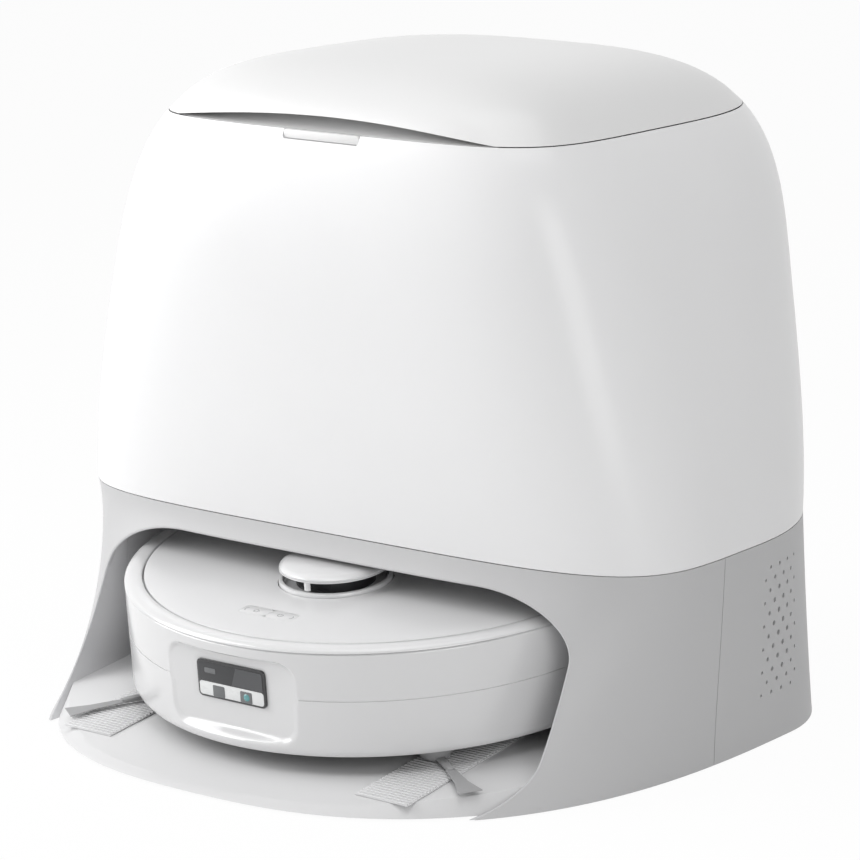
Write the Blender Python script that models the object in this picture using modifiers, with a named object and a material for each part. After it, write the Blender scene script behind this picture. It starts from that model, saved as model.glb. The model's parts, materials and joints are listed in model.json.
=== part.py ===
# A robot vacuum parked in its domed dock: every sub-part is one named object.
# Metres. +Z is up, -Y is the side where the robot drives out. The pieces are laid out about an
# axis through the dock, and the last step moves them all so that the origin lies on the floor
# under the middle of the overall box.

import math

import bmesh
import bpy
from mathutils import Matrix, Vector

# ---- driving dimensions -------------------------------------------------------------------

GAP = 0.0003                    # clearance between pieces that touch
SEAM_GAP = 0.0006               # open line between two outer covers
COVER_GAP = 0.0010              # open line round the robot's removable cover
WALL = 0.0030                   # outer shells
THIN_WALL = 0.0025              # liners, tanks and covers

ROBOT_RADIUS = 0.1747
ROBOT_HEIGHT = 0.0700           # top edge of the bumper over the robot's bottom edge
ROBOT_PITCH = math.radians(6.0)  # nose down on the ramp
ROBOT_CLEARANCE = 0.0118        # underside over the ramp, which is what the wheels stand proud
ROBOT_Y = -0.0408
ROBOT_Z = 0.0390

GARAGE_SIDE = 0.0125            # free space beside the robot
GARAGE_BACK = 0.0120            # free space behind the robot
GARAGE_HALF = ROBOT_RADIUS + GARAGE_SIDE
GARAGE_REAR = ROBOT_Y + ROBOT_RADIUS + GARAGE_BACK
GARAGE_TOP = 0.1500
MOUTH_HALF = GARAGE_HALF + 0.0025
MOUTH_TOP = 0.1230
MOUTH_CORNER = 0.0700            # width of the upper corners of the robot's way in
MOUTH_SHOULDER = 0.0400          # and their height
MOUTH_LOW_RADIUS = 0.0300

SIDE_SPACE = 0.0505             # from the garage's inside to the outer shell, each side
DOCK_HALF = MOUTH_HALF + SIDE_SPACE
DOCK_CENTRE_Y = 0.0217          # vertical axis that the dome's sections reach out from
FRONT_REACH = 0.1355
REAR_REACH = 0.1953
SEAM_Z = 0.1390                 # joint between the lower shell and the upper shell
LID_Z = 0.4006                  # joint between the upper shell and the lid
DOCK_TOP = 0.4395

FOOT_HALF = DOCK_HALF - 0.0033
FOOT_FRONT = -0.2571
FOOT_REAR = 0.2189
FOOT_CENTRE_Y = 0.0779
FOOT_FLARE = 1.65               # power of the sweep from the seam out to the toe
FLOOR_GAP = 0.0015
TOE_HEIGHT = 0.0200
COVER_SPLIT_Y = -0.0140         # joint between the front lower shell and the rear cover

# rows: angle up the dome, then width, front and rear reach as shares, then the corner powers
DOME_FORM = (
    (0.0, 1.000, 1.000, 1.000, 4.70, 2.30),
    (30.0, 0.950, 1.195, 1.202, 4.40, 2.45),
    (60.0, 0.965, 1.445, 1.368, 4.85, 3.20),
    (80.0, 1.036, 1.630, 1.400, 4.15, 3.05),
    (90.0, 1.040, 1.645, 1.403, 3.70, 2.90),
)
OUTLINE_POINTS = 48

RECESS_HALF = 0.1260            # finger recess under the lid's front edge
RECESS_HEIGHT = 0.0085
TAB_HALF = 0.0300
TAB_HEIGHT = 0.0060

HINGE_RADIUS = 0.0020
HINGE_HALF = 0.0750
HINGE_Y = 0.2050
HINGE_Z = LID_Z - 0.0016
KNUCKLE_RADIUS = 0.0040
KNUCKLE_WIDTH = 0.0140
KNUCKLE_X = 0.0560

VENT_ROWS = 12
VENT_COLUMNS = 8
VENT_HOLE = 0.0014
VENT_PITCH = 0.0062
VENT_Y = 0.0590
VENT_Z = 0.0780

WHEEL_RADIUS = 0.0350
WHEEL_WIDTH = 0.0220
WHEEL_X = 0.1180
WELL_GAP = 0.0025
AXLE_RADIUS = 0.0030
SUSPENSION_Y = -0.0500

BUMPER_WALL = 0.0045
BUMPER_SPLIT = 0.0385           # groove round the middle of the bumper
BUMPER_TRAVEL = 0.0030
BUMPER_END_Y = -0.0120
CHASSIS_RADIUS = ROBOT_RADIUS - 0.0092
CHASSIS_WALL_RADIUS = 0.1570
CHASSIS_FLOOR = 0.0030
TOP_RADIUS = 0.1617             # removable top cover

POCKET_HALF = 0.0530
POCKET_BOTTOM = 0.0060
POCKET_TOP = 0.0630
POCKET_DEPTH = 0.0080
WINDOW_HALF = 0.0275
WINDOW_BOTTOM = 0.0280
WINDOW_TOP = 0.0535
WINDOW_SPLIT = 0.0376

TURRET_RADIUS = 0.0375
TURRET_Y = -0.0560
TURRET_TOP = 0.0885
CAP_THICKNESS = 0.0050
CAP_POSTS = 3
CAP_TRAVEL = 0.0006
BUTTON_Y = -0.1260
BUTTON_LENGTH = 0.0210
BUTTON_WIDTH = 0.0120

SIDE_BRUSH_X = 0.1120
SIDE_BRUSH_Y = -0.1080
SIDE_BRUSH_REACH = 0.0660
CASTER_Y = -0.1300
CASTER_RADIUS = 0.0100
CASTER_DRUM = 0.0124
ROLLER_Y = -0.0560
ROLLER_RADIUS = 0.0170
ROLLER_HALF = 0.0800
MOP_X = 0.0670
MOP_Y = 0.0860
MOP_RADIUS = 0.0600

TRACK_INNER = 0.1000            # ribbed wheel tracks on the ramp
TRACK_OUTER = 0.1400
TRACK_PITCH = 0.0060

TANK_HALF_X = 0.0700
TANK_HALF_Y = 0.0640
TANK_Y = 0.0900
TANK_BOTTOM = 0.1780
TANK_HEIGHT = 0.1700
BAY_THICKNESS = 0.0040

CONTACT_X = 0.0380              # charging contacts on the rear wall of the garage
CONTACT_HALF = 0.0070
CONTACT_Z = 0.0800

PART_NAME = "robot_vacuum_and_dock"

COLOURS = {
    "gloss_white": ((0.86, 0.86, 0.86), 0.16, 0.0),
    "satin_white": ((0.83, 0.83, 0.83), 0.30, 0.0),
    "dock_grey": ((0.60, 0.60, 0.61), 0.42, 0.0),
    "tray_white": ((0.72, 0.72, 0.73), 0.50, 0.0),
    "robot_white": ((0.80, 0.80, 0.80), 0.24, 0.0),
    "inner_grey": ((0.38, 0.39, 0.40), 0.55, 0.0),
    "black_plastic": ((0.015, 0.015, 0.017), 0.40, 0.0),
    "black_glass": ((0.02, 0.02, 0.023), 0.06, 0.0),
    "tank_clear": ((0.55, 0.62, 0.68), 0.12, 0.0),
    "tank_smoke": ((0.18, 0.19, 0.21), 0.15, 0.0),
    "rubber": ((0.03, 0.03, 0.03), 0.75, 0.0),
    "brush_grey": ((0.30, 0.30, 0.31), 0.65, 0.0),
    "steel": ((0.62, 0.62, 0.60), 0.25, 1.0),
    "contact_metal": ((0.70, 0.58, 0.38), 0.28, 1.0),
    "board_green": ((0.02, 0.14, 0.06), 0.50, 0.0),
    "paper_bag": ((0.62, 0.58, 0.50), 0.85, 0.0),
    "mop_cloth": ((0.52, 0.53, 0.55), 0.95, 0.0),
}


# ---- helpers ------------------------------------------------------------------------------

def clear_scene():
    for item in list(bpy.data.objects):
        bpy.data.objects.remove(item, do_unlink=True)


def new_collection(name):
    collection = bpy.data.collections.new(name)
    bpy.context.scene.collection.children.link(collection)
    return collection


def material(slot):
    found = bpy.data.materials.get(slot)
    if found:
        return found
    colour, roughness, metallic = COLOURS[slot]
    made = bpy.data.materials.new(slot)
    made.use_nodes = True
    shader = made.node_tree.nodes["Principled BSDF"]
    shader.inputs["Base Color"].default_value = (*colour, 1.0)
    shader.inputs["Roughness"].default_value = roughness
    shader.inputs["Metallic"].default_value = metallic
    return made


def place(name, mesh, slot, where=(0.0, 0.0, 0.0), parent=None, smooth=True):
    """Link a finished mesh into the part's collection under the given name."""
    thing = bpy.data.objects.new(name, mesh)
    PARTS.objects.link(thing)
    mesh.materials.append(material(slot))
    thing.location = where
    thing.parent = parent
    if smooth:
        mesh.shade_smooth()
        mesh.set_sharp_from_angle(angle=math.radians(32))
    return thing


def guide(name, mesh, where=(0.0, 0.0, 0.0), parent=None):
    """Link a cutter, which only shapes other objects."""
    thing = bpy.data.objects.new(name, mesh)
    CUTTERS.objects.link(thing)
    thing.location = where
    thing.parent = parent
    thing.hide_render = True
    thing.display_type = "WIRE"
    return thing


def to_mesh(name, bm):
    bmesh.ops.recalc_face_normals(bm, faces=bm.faces)
    mesh = bpy.data.meshes.new(name)
    bm.to_mesh(mesh)
    bm.free()
    return mesh


def boolean(thing, cutter, operation="DIFFERENCE"):
    modifier = thing.modifiers.new(cutter.name, "BOOLEAN")
    modifier.object = cutter
    modifier.operation = operation
    modifier.solver = "EXACT"
    return modifier


def bevel(thing, width, segments=2, angle=40.0):
    modifier = thing.modifiers.new("edges", "BEVEL")
    modifier.width = width
    modifier.segments = segments
    modifier.limit_method = "ANGLE"
    modifier.angle_limit = math.radians(angle)
    return modifier


def box_mesh(name, low, high):
    bm = bmesh.new()
    bmesh.ops.create_cube(bm, size=1.0)
    size = [b - a for a, b in zip(low, high)]
    centre = [(a + b) / 2 for a, b in zip(low, high)]
    bmesh.ops.scale(bm, vec=size, verts=bm.verts)
    bmesh.ops.translate(bm, vec=centre, verts=bm.verts)
    return to_mesh(name, bm)


def cylinder_mesh(name, radius, depth, axis="Z", centre=(0, 0, 0), sides=24, radius_top=None):
    bm = bmesh.new()
    top = radius if radius_top is None else radius_top
    bmesh.ops.create_cone(bm, cap_ends=True, segments=sides, radius1=radius, radius2=top, depth=depth)
    turn = {"Z": Matrix(), "X": Matrix.Rotation(math.pi / 2, 4, "Y"),
            "Y": Matrix.Rotation(-math.pi / 2, 4, "X")}[axis]
    bmesh.ops.transform(bm, matrix=Matrix.Translation(centre) @ turn, verts=bm.verts)
    return to_mesh(name, bm)


def profile_mesh(name, points, closed):
    """Points in the XZ plane as edges, ready for a Screw modifier."""
    bm = bmesh.new()
    verts = [bm.verts.new((x, 0.0, z)) for x, z in points]
    for a, b in zip(verts, verts[1:]):
        bm.edges.new((a, b))
    if closed:
        bm.edges.new((verts[-1], verts[0]))
    mesh = bpy.data.meshes.new(name)
    bm.to_mesh(mesh)
    bm.free()
    return mesh


def turned(name, points, slot, where=(0, 0, 0), parent=None, steps=40, closed=False, cutter=False):
    """Solid of revolution about its own Z; the outer side of the profile runs downwards."""
    mesh = profile_mesh(name, points, closed)
    if cutter:
        thing = guide(name, mesh, where, parent)
    else:
        thing = place(name, mesh, slot, where, parent, smooth=False)
    screw = thing.modifiers.new("turn", "SCREW")
    screw.axis = "Z"
    screw.steps = steps
    screw.render_steps = steps
    screw.use_merge_vertices = True
    screw.merge_threshold = 0.00001
    screw.use_smooth_shade = True
    return thing


def extruded(name, points, low, high, axis="Y"):
    """Prism from a closed outline: XZ points along Y, XY points along Z, or YZ points along X."""
    bm = bmesh.new()
    make = {"Y": lambda a, b, c: (a, c, b), "Z": lambda a, b, c: (a, b, c), "X": lambda a, b,
            c: (c, a, b)}[axis]
    verts = [bm.verts.new(make(a, b, low)) for a, b in points]
    face = bm.faces.new(verts)
    grown = bmesh.ops.extrude_face_region(bm, geom=[face])
    moved = [item for item in grown["geom"] if isinstance(item, bmesh.types.BMVert)]
    step = Vector(make(0.0, 0.0, high - low))
    bmesh.ops.translate(bm, vec=step, verts=moved)
    return to_mesh(name, bm)


def rounded_rectangle(half_a, low, high, radius, per_corner=5, centre=0.0):
    points = []
    corners = ((half_a - radius, high - radius, 0), (radius - half_a, high - radius, 90),
               (radius - half_a, low + radius, 180), (half_a - radius, low + radius, 270))
    for a, b, start in corners:
        for step in range(per_corner + 1):
            angle = math.radians(start + 90.0 * step / per_corner)
            points.append((centre + a + radius * math.cos(angle), b + radius * math.sin(angle)))
    return points


def smooth_value(x, xs, ys):
    """Cubic through the given points with slopes taken from their neighbours."""
    last = len(xs) - 1
    index = max(0, min(last - 1, sum(1 for value in xs[1:-1] if value <= x)))
    slopes = []
    for k in (index, index + 1):
        a, b = max(0, k - 1), min(last, k + 1)
        slopes.append((ys[b] - ys[a]) / (xs[b] - xs[a]))
    span = xs[index + 1] - xs[index]
    t = (x - xs[index]) / span
    return ((2 * t**3 - 3 * t**2 + 1) * ys[index] + (t**3 - 2 * t**2 + t) * span * slopes[0]
            + (3 * t**2 - 2 * t**3) * ys[index + 1] + (t**3 - t**2) * span * slopes[1])


def superellipse(section, inset=0.0, count=OUTLINE_POINTS):
    """Closed outline in XY; the front and the rear halves have their own reach and power."""
    half, front, rear, centre, power_front, power_rear = section
    points = []
    for step in range(count):
        angle = 2.0 * math.pi * step / count
        c, s = math.cos(angle), math.sin(angle)
        reach, power = (rear - centre, power_rear) if s >= 0 else (centre - front, power_front)
        x = (half - inset) * math.copysign(abs(c) ** (2.0 / power), c)
        y = centre + (reach - inset) * math.copysign(abs(s) ** (2.0 / power), s)
        points.append((x, y))
    return points


def dome_section(angle):
    """Section of the dome at an angle from 0 at the seam to 90 degrees at the top."""
    rows = list(zip(*DOME_FORM))
    width, front, rear, power_front, power_rear = (smooth_value(angle, rows[0], row) for row in rows[1:])
    shrink = math.sqrt(max(0.0, math.cos(math.radians(angle))))
    return (DOCK_HALF * width * shrink, DOCK_CENTRE_Y - FRONT_REACH * front * shrink,
            DOCK_CENTRE_Y + REAR_REACH * rear * shrink, DOCK_CENTRE_Y, power_front, power_rear)


def dome_angle(z):
    return math.degrees(math.asin((z - SEAM_Z) / (DOCK_TOP - SEAM_Z)))


def dome_height(angle):
    return SEAM_Z + (DOCK_TOP - SEAM_Z) * math.sin(math.radians(angle))


def skirt_section(z):
    """Section of the lower shell, which sweeps forward into the toe at the floor."""
    share = z / SEAM_Z
    seam = dome_section(0.0)
    half = FOOT_HALF + (seam[0] - FOOT_HALF) * share
    front = seam[1] + (FOOT_FRONT - seam[1]) * (1.0 - share) ** FOOT_FLARE
    rear = FOOT_REAR + (seam[2] - FOOT_REAR) * share
    centre = FOOT_CENTRE_Y + (DOCK_CENTRE_Y - FOOT_CENTRE_Y) * share
    power_front = 2.70 + (seam[4] - 2.70) * share ** 1.8
    power_rear = 2.07 + (seam[5] - 2.07) * share
    return half, front, rear, centre, power_front, power_rear


def loft(name, rings, cap_first=False, cap_last=False):
    """Skin between rings of equal length, each a list of 3-D points."""
    bm = bmesh.new()
    rows = [[bm.verts.new(point) for point in ring] for ring in rings]
    count = len(rings[0])
    for low, high in zip(rows, rows[1:]):
        for k in range(count):
            nxt = (k + 1) % count
            bm.faces.new((low[k], low[nxt], high[nxt], high[k]))
    if cap_first:
        bm.faces.new(list(reversed(rows[0])))
    if cap_last:
        bm.faces.new(rows[-1])
    mesh = bpy.data.meshes.new(name)
    bm.to_mesh(mesh)
    bm.free()
    return mesh


def ring_at(section, z):
    return [(x, y, z) for x, y in superellipse(section)]


def shell(thing, thickness=WALL):
    modifier = thing.modifiers.new("wall", "SOLIDIFY")
    modifier.thickness = thickness
    modifier.offset = -1.0
    return modifier


def ramp_z(y):
    """Height of the ramp's surface, parallel to the parked robot's underside."""
    return (ROBOT_Z - ROBOT_CLEARANCE / math.cos(ROBOT_PITCH)
            + math.tan(ROBOT_PITCH) * (y - ROBOT_Y))


def above_ramp(name, lift, low_y=-0.40, high_y=None):
    """Wedge holding everything higher than the ramp plus a lift; it levels out at the rear."""
    level_y = GARAGE_REAR if high_y is None else high_y
    points = [(low_y, ramp_z(low_y) + lift), (level_y, ramp_z(level_y) + lift),
              (0.40, ramp_z(level_y) + lift), (0.40, 0.50), (low_y, 0.50)]
    return guide(name, extruded(name, points, -0.40, 0.40, "X"))


# ---- dock ---------------------------------------------------------------------------------

def tray_section(z):
    """Inside of the lower shell, but reaching out to the toe where the mouth is open."""
    half, front, rear, centre, power_front, power_rear = skirt_section(z)
    inset = WALL + GAP * 2
    low = max(0.0, 1.0 - z / TOE_HEIGHT)
    return (half - inset, front + inset * (1.0 - low), rear - inset, centre,
            power_front - 0.14 * low, power_rear)


def make_tray():
    levels = (FLOOR_GAP, 0.0070, 0.0140, 0.0220, 0.0350, 0.0500, 0.0700)
    rings = [ring_at(tray_section(z), z) for z in levels]
    tray = place("base_tray", loft("base_tray", rings, True, True), "tray_white")
    boolean(tray, above_ramp("over_ramp", 0.0))
    hollow = [[(x, y, z) for x, y in superellipse(tray_section(max(0.0, z)), inset=0.0045)]
              for z in (-0.010, 0.0140, 0.0350, 0.0700)]
    under = guide("under_tray", loft("under_tray", hollow, True, True))
    boolean(under, above_ramp("under_ramp", -0.0040))
    toe = guide("toe_block", box_mesh("toe_block", (-0.4, -0.4, -0.1), (0.4, -0.185, 0.2)))
    boolean(under, toe)
    boolean(tray, under)
    for side, word in ((-1, "left"), (1, "right")):
        for end, y in (("front", -0.150), ("rear", 0.130)):
            make_foot(side * 0.170, y, word, end)


def make_foot(x, y, word, end):
    name = "foot_%s_%s" % (end, word)
    top = ramp_z(min(y, GARAGE_REAR) - 0.0080) - 0.0040 - GAP
    points = [(0.0, top), (0.0080, top), (0.0105, FLOOR_GAP * 2), (0.0105, 0.0), (0.0, 0.0)]
    turned(name, points, "rubber", (x, y, 0.0), steps=14)


def make_tracks():
    low, high = -0.2150, -0.0900
    count = int((high - low) / TRACK_PITCH)
    for side, word in ((-1, "left"), (1, "right")):
        points = [(low, ramp_z(low) + GAP), (high, ramp_z(high) + GAP)]
        for step in reversed(range(count)):
            y = low + step * TRACK_PITCH
            for share, rise in ((0.95, 0.0009), (0.60, 0.0009), (0.55, 0.0016), (0.05, 0.0016)):
                at = y + share * TRACK_PITCH
                points.append((at, ramp_z(at) + rise))
        edges = sorted((side * TRACK_INNER, side * TRACK_OUTER))
        mesh = extruded("track_strip", points, edges[0], edges[1], "X")
        place("track_strip_" + word, mesh, "tray_white", smooth=False)


def make_wash_board():
    """Ribbed board under the mop pads, lying on the ramp."""
    lift = GAP
    low, high = ROBOT_Y + 0.045, ROBOT_Y + 0.135
    ribs = 9
    pitch = (high - low) / ribs
    points = [(low, ramp_z(low) + lift), (high, ramp_z(high) + lift)]
    for step in reversed(range(ribs)):
        y = low + step * pitch
        for share, rise in ((1.0, 0.0012), (0.72, 0.0012), (0.66, 0.0022), (0.34, 0.0022),
                            (0.28, 0.0012)):
            at = y + share * pitch
            points.append((at, ramp_z(at) + lift + rise))
    points.append((low, ramp_z(low) + lift + 0.0012))
    mesh = extruded("wash_board", points, -0.1280, 0.1280, "X")
    place("wash_board", mesh, "inner_grey", smooth=False)


def skirt_mesh(name, levels=7):
    rings = []
    for step in range(levels):
        share = step / (levels - 1)
        z = 0.0010 + (SEAM_Z - SEAM_GAP / 2 - 0.0010) * share ** 1.15
        rings.append(ring_at(skirt_section(z), z))
    return loft(name, rings)


def mouth_cutter():
    """The robot's way in: wide, with large upper corners and small lower ones."""
    points = []
    top_a, top_b, low_r = MOUTH_CORNER, MOUTH_SHOULDER, MOUTH_LOW_RADIUS
    half = MOUTH_HALF
    for start, cx, cz, ra, rb in ((0, half - top_a, MOUTH_TOP - top_b, top_a, top_b),
                                  (90, top_a - half, MOUTH_TOP - top_b, top_a, top_b),
                                  (180, low_r - half, low_r - 0.0010, low_r, low_r),
                                  (270, half - low_r, low_r - 0.0010, low_r, low_r)):
        for step in range(9):
            angle = math.radians(start + 90.0 * step / 8)
            points.append((cx + ra * math.cos(angle), cz + rb * math.sin(angle)))
    return guide("mouth", extruded("mouth", points, -0.40, 0.02, "Y"))


def vent_cutter(side):
    """Staggered round holes through one side of the rear cover, merged into one cutter."""
    bm = bmesh.new()
    for row in range(VENT_ROWS):
        for column in range(VENT_COLUMNS // 2):
            y = VENT_Y + (column - VENT_COLUMNS / 4 + 0.25 + 0.5 * (row % 2)) * VENT_PITCH * 2
            z = VENT_Z + (row - (VENT_ROWS - 1) / 2) * VENT_PITCH * 1.25
            at = Matrix.Translation((side * DOCK_HALF, y, z)) @ Matrix.Rotation(math.pi / 2, 4, "Y")
            bmesh.ops.create_cone(bm, cap_ends=True, segments=4, radius1=VENT_HOLE,
                                  radius2=VENT_HOLE, depth=0.050, matrix=at)
    word = "left" if side < 0 else "right"
    return guide("vents_" + word, to_mesh("vents_" + word, bm))


def make_lower_shells():
    front = place("lower_shell", skirt_mesh("lower_shell"), "dock_grey")
    shell(front)
    behind = guide("behind_split", box_mesh("behind_split", (-0.4, COVER_SPLIT_Y, -0.1), (0.4, 0.4, 0.3)))
    boolean(front, behind)
    boolean(front, mouth_cutter())
    below = guide("below_foot", box_mesh("below_foot", (-0.4, -0.4, -0.1), (0.4, 0.4, 0.0010)))
    boolean(front, below)

    rear = place("rear_cover", skirt_mesh("rear_cover"), "dock_grey")
    shell(rear)
    edge = COVER_SPLIT_Y + SEAM_GAP
    ahead = guide("ahead_of_split", box_mesh("ahead_of_split", (-0.4, -0.4, -0.1), (0.4, edge, 0.3)))
    boolean(rear, ahead)
    for side in (-1, 1):
        boolean(rear, vent_cutter(side))
    inlet = guide("inlet_hole", box_mesh("inlet_hole", (0.0746, 0.10, 0.0496), (0.1054, 0.30, 0.0724)))
    boolean(rear, inlet)
    body = place("power_inlet", box_mesh("power_inlet", (0.0750, 0.1600, 0.0500),
                                         (0.1050, 0.2020, 0.0720)),
                 "black_plastic", smooth=False)
    socket = guide("inlet_socket", box_mesh("inlet_socket", (0.0790, 0.1850, 0.0540),
                                            (0.1010, 0.2200, 0.0680)))
    boolean(body, socket)


def make_liner():
    """Tunnel around the parked robot: two sides, a ceiling and a rear wall."""
    front_y = -0.0950
    outer = rounded_rectangle(GARAGE_HALF + THIN_WALL, -0.060, GARAGE_TOP + THIN_WALL, 0.040)
    inner = rounded_rectangle(GARAGE_HALF, -0.080, GARAGE_TOP, 0.040 - THIN_WALL)
    rear = GARAGE_REAR + THIN_WALL
    liner = place("garage_liner", extruded("garage_liner", outer, front_y, rear, "Y"), "inner_grey")
    room = guide("garage_room", extruded("garage_room", inner, -0.40, GARAGE_REAR, "Y"))
    boolean(liner, room)
    floor = [(-0.40, ramp_z(-0.40) + GAP), (0.40, ramp_z(0.40) + GAP), (0.40, -0.20), (-0.40, -0.20)]
    boolean(liner, guide("liner_foot", extruded("liner_foot", floor, -0.4, 0.4, "X")))
    for side in (-1, 1):
        x = side * CONTACT_X
        hole = guide("contact_hole_%d" % side, box_mesh("contact_hole", (x - CONTACT_HALF - GAP, 0.0,
                                                                         CONTACT_Z - 0.0060 - GAP),
                                               (x + CONTACT_HALF + GAP, 0.30, CONTACT_Z + 0.0060 + GAP)))
        boolean(liner, hole)
    lens = guide("beacon_hole", box_mesh("beacon_hole", (-0.0250 - GAP, 0.0, 0.0950 - GAP),
                                         (0.0250 + GAP, 0.30, 0.1130 + GAP)))
    boolean(liner, lens)
    place("beacon_window", box_mesh("beacon_window", (-0.0250, GARAGE_REAR - 0.0010, 0.0950),
                                    (0.0250, GARAGE_REAR + 0.0020, 0.1130)), "black_glass", smooth=False)


def make_dock_contacts():
    for side, word in ((-1, "left"), (1, "right")):
        x = side * CONTACT_X
        mesh = box_mesh("dock_contact", (x - CONTACT_HALF, GARAGE_REAR - 0.0060, CONTACT_Z - 0.0060),
                        (x + CONTACT_HALF, GARAGE_REAR + 0.0060, CONTACT_Z + 0.0060))
        bevel(place("dock_contact_" + word, mesh, "contact_metal"), 0.0020, 1)


def upper_shell_angles(levels=9):
    end = dome_angle(LID_Z - SEAM_GAP / 2)
    return [end * step / (levels - 1) for step in range(levels)]


def make_upper_shell():
    rings = []
    for angle in upper_shell_angles():
        z = dome_height(angle) + (SEAM_GAP / 2 if angle == 0.0 else 0.0)
        rings.append(ring_at(dome_section(angle), z))
    upper = place("upper_shell", loft("upper_shell", rings), "gloss_white")
    shell(upper)
    low = (-HINGE_HALF - GAP, HINGE_Y - 0.0065, HINGE_Z - 0.0050)
    high = (HINGE_HALF + GAP, HINGE_Y + 0.0300, LID_Z + 0.01)
    boolean(upper, guide("hinge_notch", box_mesh("hinge_notch", low, high)))
    top = LID_Z + 0.01
    points = [(TAB_HALF + GAP, top), (-TAB_HALF - GAP, top),
              (-TAB_HALF - GAP, LID_Z - TAB_HEIGHT + 0.002),
              (-TAB_HALF + 0.002, LID_Z - TAB_HEIGHT - GAP), (TAB_HALF - 0.002, LID_Z - TAB_HEIGHT - GAP),
              (TAB_HALF + GAP, LID_Z - TAB_HEIGHT + 0.002)]
    boolean(upper, guide("tab_notch", extruded("tab_notch", points, -0.30, -0.05, "Y")))


def make_lid():
    start = dome_angle(LID_Z + SEAM_GAP / 2)
    rings = []
    for step in range(6):
        angle = start + (88.5 - start) * (step / 5) ** 0.80
        rings.append(ring_at(dome_section(angle), dome_height(angle)))
    lid = place("lid", loft("lid", rings, cap_last=True), "satin_white")
    shell(lid)
    level = LID_Z + SEAM_GAP / 2
    under = guide("under_lid", box_mesh("under_lid", (-0.3, -0.3, level - 0.05), (0.3, 0.3, level)))
    boolean(lid, under)
    points = [(-RECESS_HALF, LID_Z - 0.01), (RECESS_HALF, LID_Z - 0.01)]
    for step in range(13):
        x = RECESS_HALF * (1.0 - step / 6.0)
        points.append((x, LID_Z + SEAM_GAP / 2 + RECESS_HEIGHT * (1.0 - (x / RECESS_HALF) ** 2) + 0.00005))
    boolean(lid, guide("finger_recess", extruded("finger_recess", points, -0.30, -0.03, "Y")))
    for side in (-1, 1):
        name = "knuckle_%d" % side
        centre = (side * KNUCKLE_X, HINGE_Y, HINGE_Z)
        knuckle = guide(name, cylinder_mesh(name, KNUCKLE_RADIUS, KNUCKLE_WIDTH, "X", centre, 16))
        boolean(lid, knuckle, "UNION")
    bore = cylinder_mesh("hinge_bore", HINGE_RADIUS + GAP, 0.30, "X", (0, HINGE_Y, HINGE_Z), 16)
    boolean(lid, guide("hinge_bore", bore))
    pin = cylinder_mesh("lid_hinge_rod", HINGE_RADIUS, HINGE_HALF * 2, "X", (0, HINGE_Y, HINGE_Z), 16)
    place("lid_hinge_rod", pin, "steel")


def front_wall_y(z):
    return dome_section(dome_angle(z))[1]


def make_lid_tab_and_scoop():
    """Small tab that closes the notch, and the sloped floor of the finger recess."""
    face = front_wall_y(LID_Z - TAB_HEIGHT / 2)
    top = LID_Z - SEAM_GAP / 2
    points = [(TAB_HALF, top), (-TAB_HALF, top), (-TAB_HALF, LID_Z - TAB_HEIGHT + 0.002),
              (-TAB_HALF + 0.002, LID_Z - TAB_HEIGHT), (TAB_HALF - 0.002, LID_Z - TAB_HEIGHT),
              (TAB_HALF, LID_Z - TAB_HEIGHT + 0.002)]
    place("status_light", extruded("status_light", points, face + 0.0003, face + 0.0035, "Y"),
          "satin_white", smooth=False)
    section = dome_section(dome_angle(LID_Z))
    inner, outer = WALL + GAP, 0.0200
    verts = []
    count = 14
    bm = bmesh.new()
    for step in range(count + 1):
        x = -RECESS_HALF + 2 * RECESS_HALF * step / count
        row = []
        for inset, z in ((inner, LID_Z - 0.006), (inner, LID_Z - 0.0002), (outer, LID_Z + 0.0085),
                         (outer + 0.0012, LID_Z + 0.0070), (inner + 0.0022, LID_Z - 0.0015),
                         (inner + 0.0022, LID_Z - 0.006)):
            reach = section[3] - section[1] - inset
            share = abs(x) / (section[0] - inset)
            y = section[3] - reach * (1.0 - share ** section[4]) ** (1.0 / section[4])
            row.append(bm.verts.new((x, y, z)))
        verts.append(row)
    for a, b in zip(verts, verts[1:]):
        for k in range(6):
            nxt = (k + 1) % 6
            bm.faces.new((a[k], a[nxt], b[nxt], b[k]))
    bm.faces.new(verts[0])
    bm.faces.new(verts[-1])
    place("finger_scoop", to_mesh("finger_scoop", bm), "satin_white")


# ---- inside the dock ----------------------------------------------------------------------

def make_bay():
    """Floor of the tank bay, carried by the seam between the shells."""
    section = dome_section(dome_angle(TANK_BOTTOM - BAY_THICKNESS - GAP))
    inset = WALL + GAP
    rings = []
    for z in (TANK_BOTTOM - BAY_THICKNESS - GAP, TANK_BOTTOM - GAP):
        at = dome_section(dome_angle(z))
        rings.append([(x, y, z) for x, y in superellipse(at, inset=inset + 0.0012)])
    place("tank_bay", loft("tank_bay", rings, True, True), "inner_grey")
    return section


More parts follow.
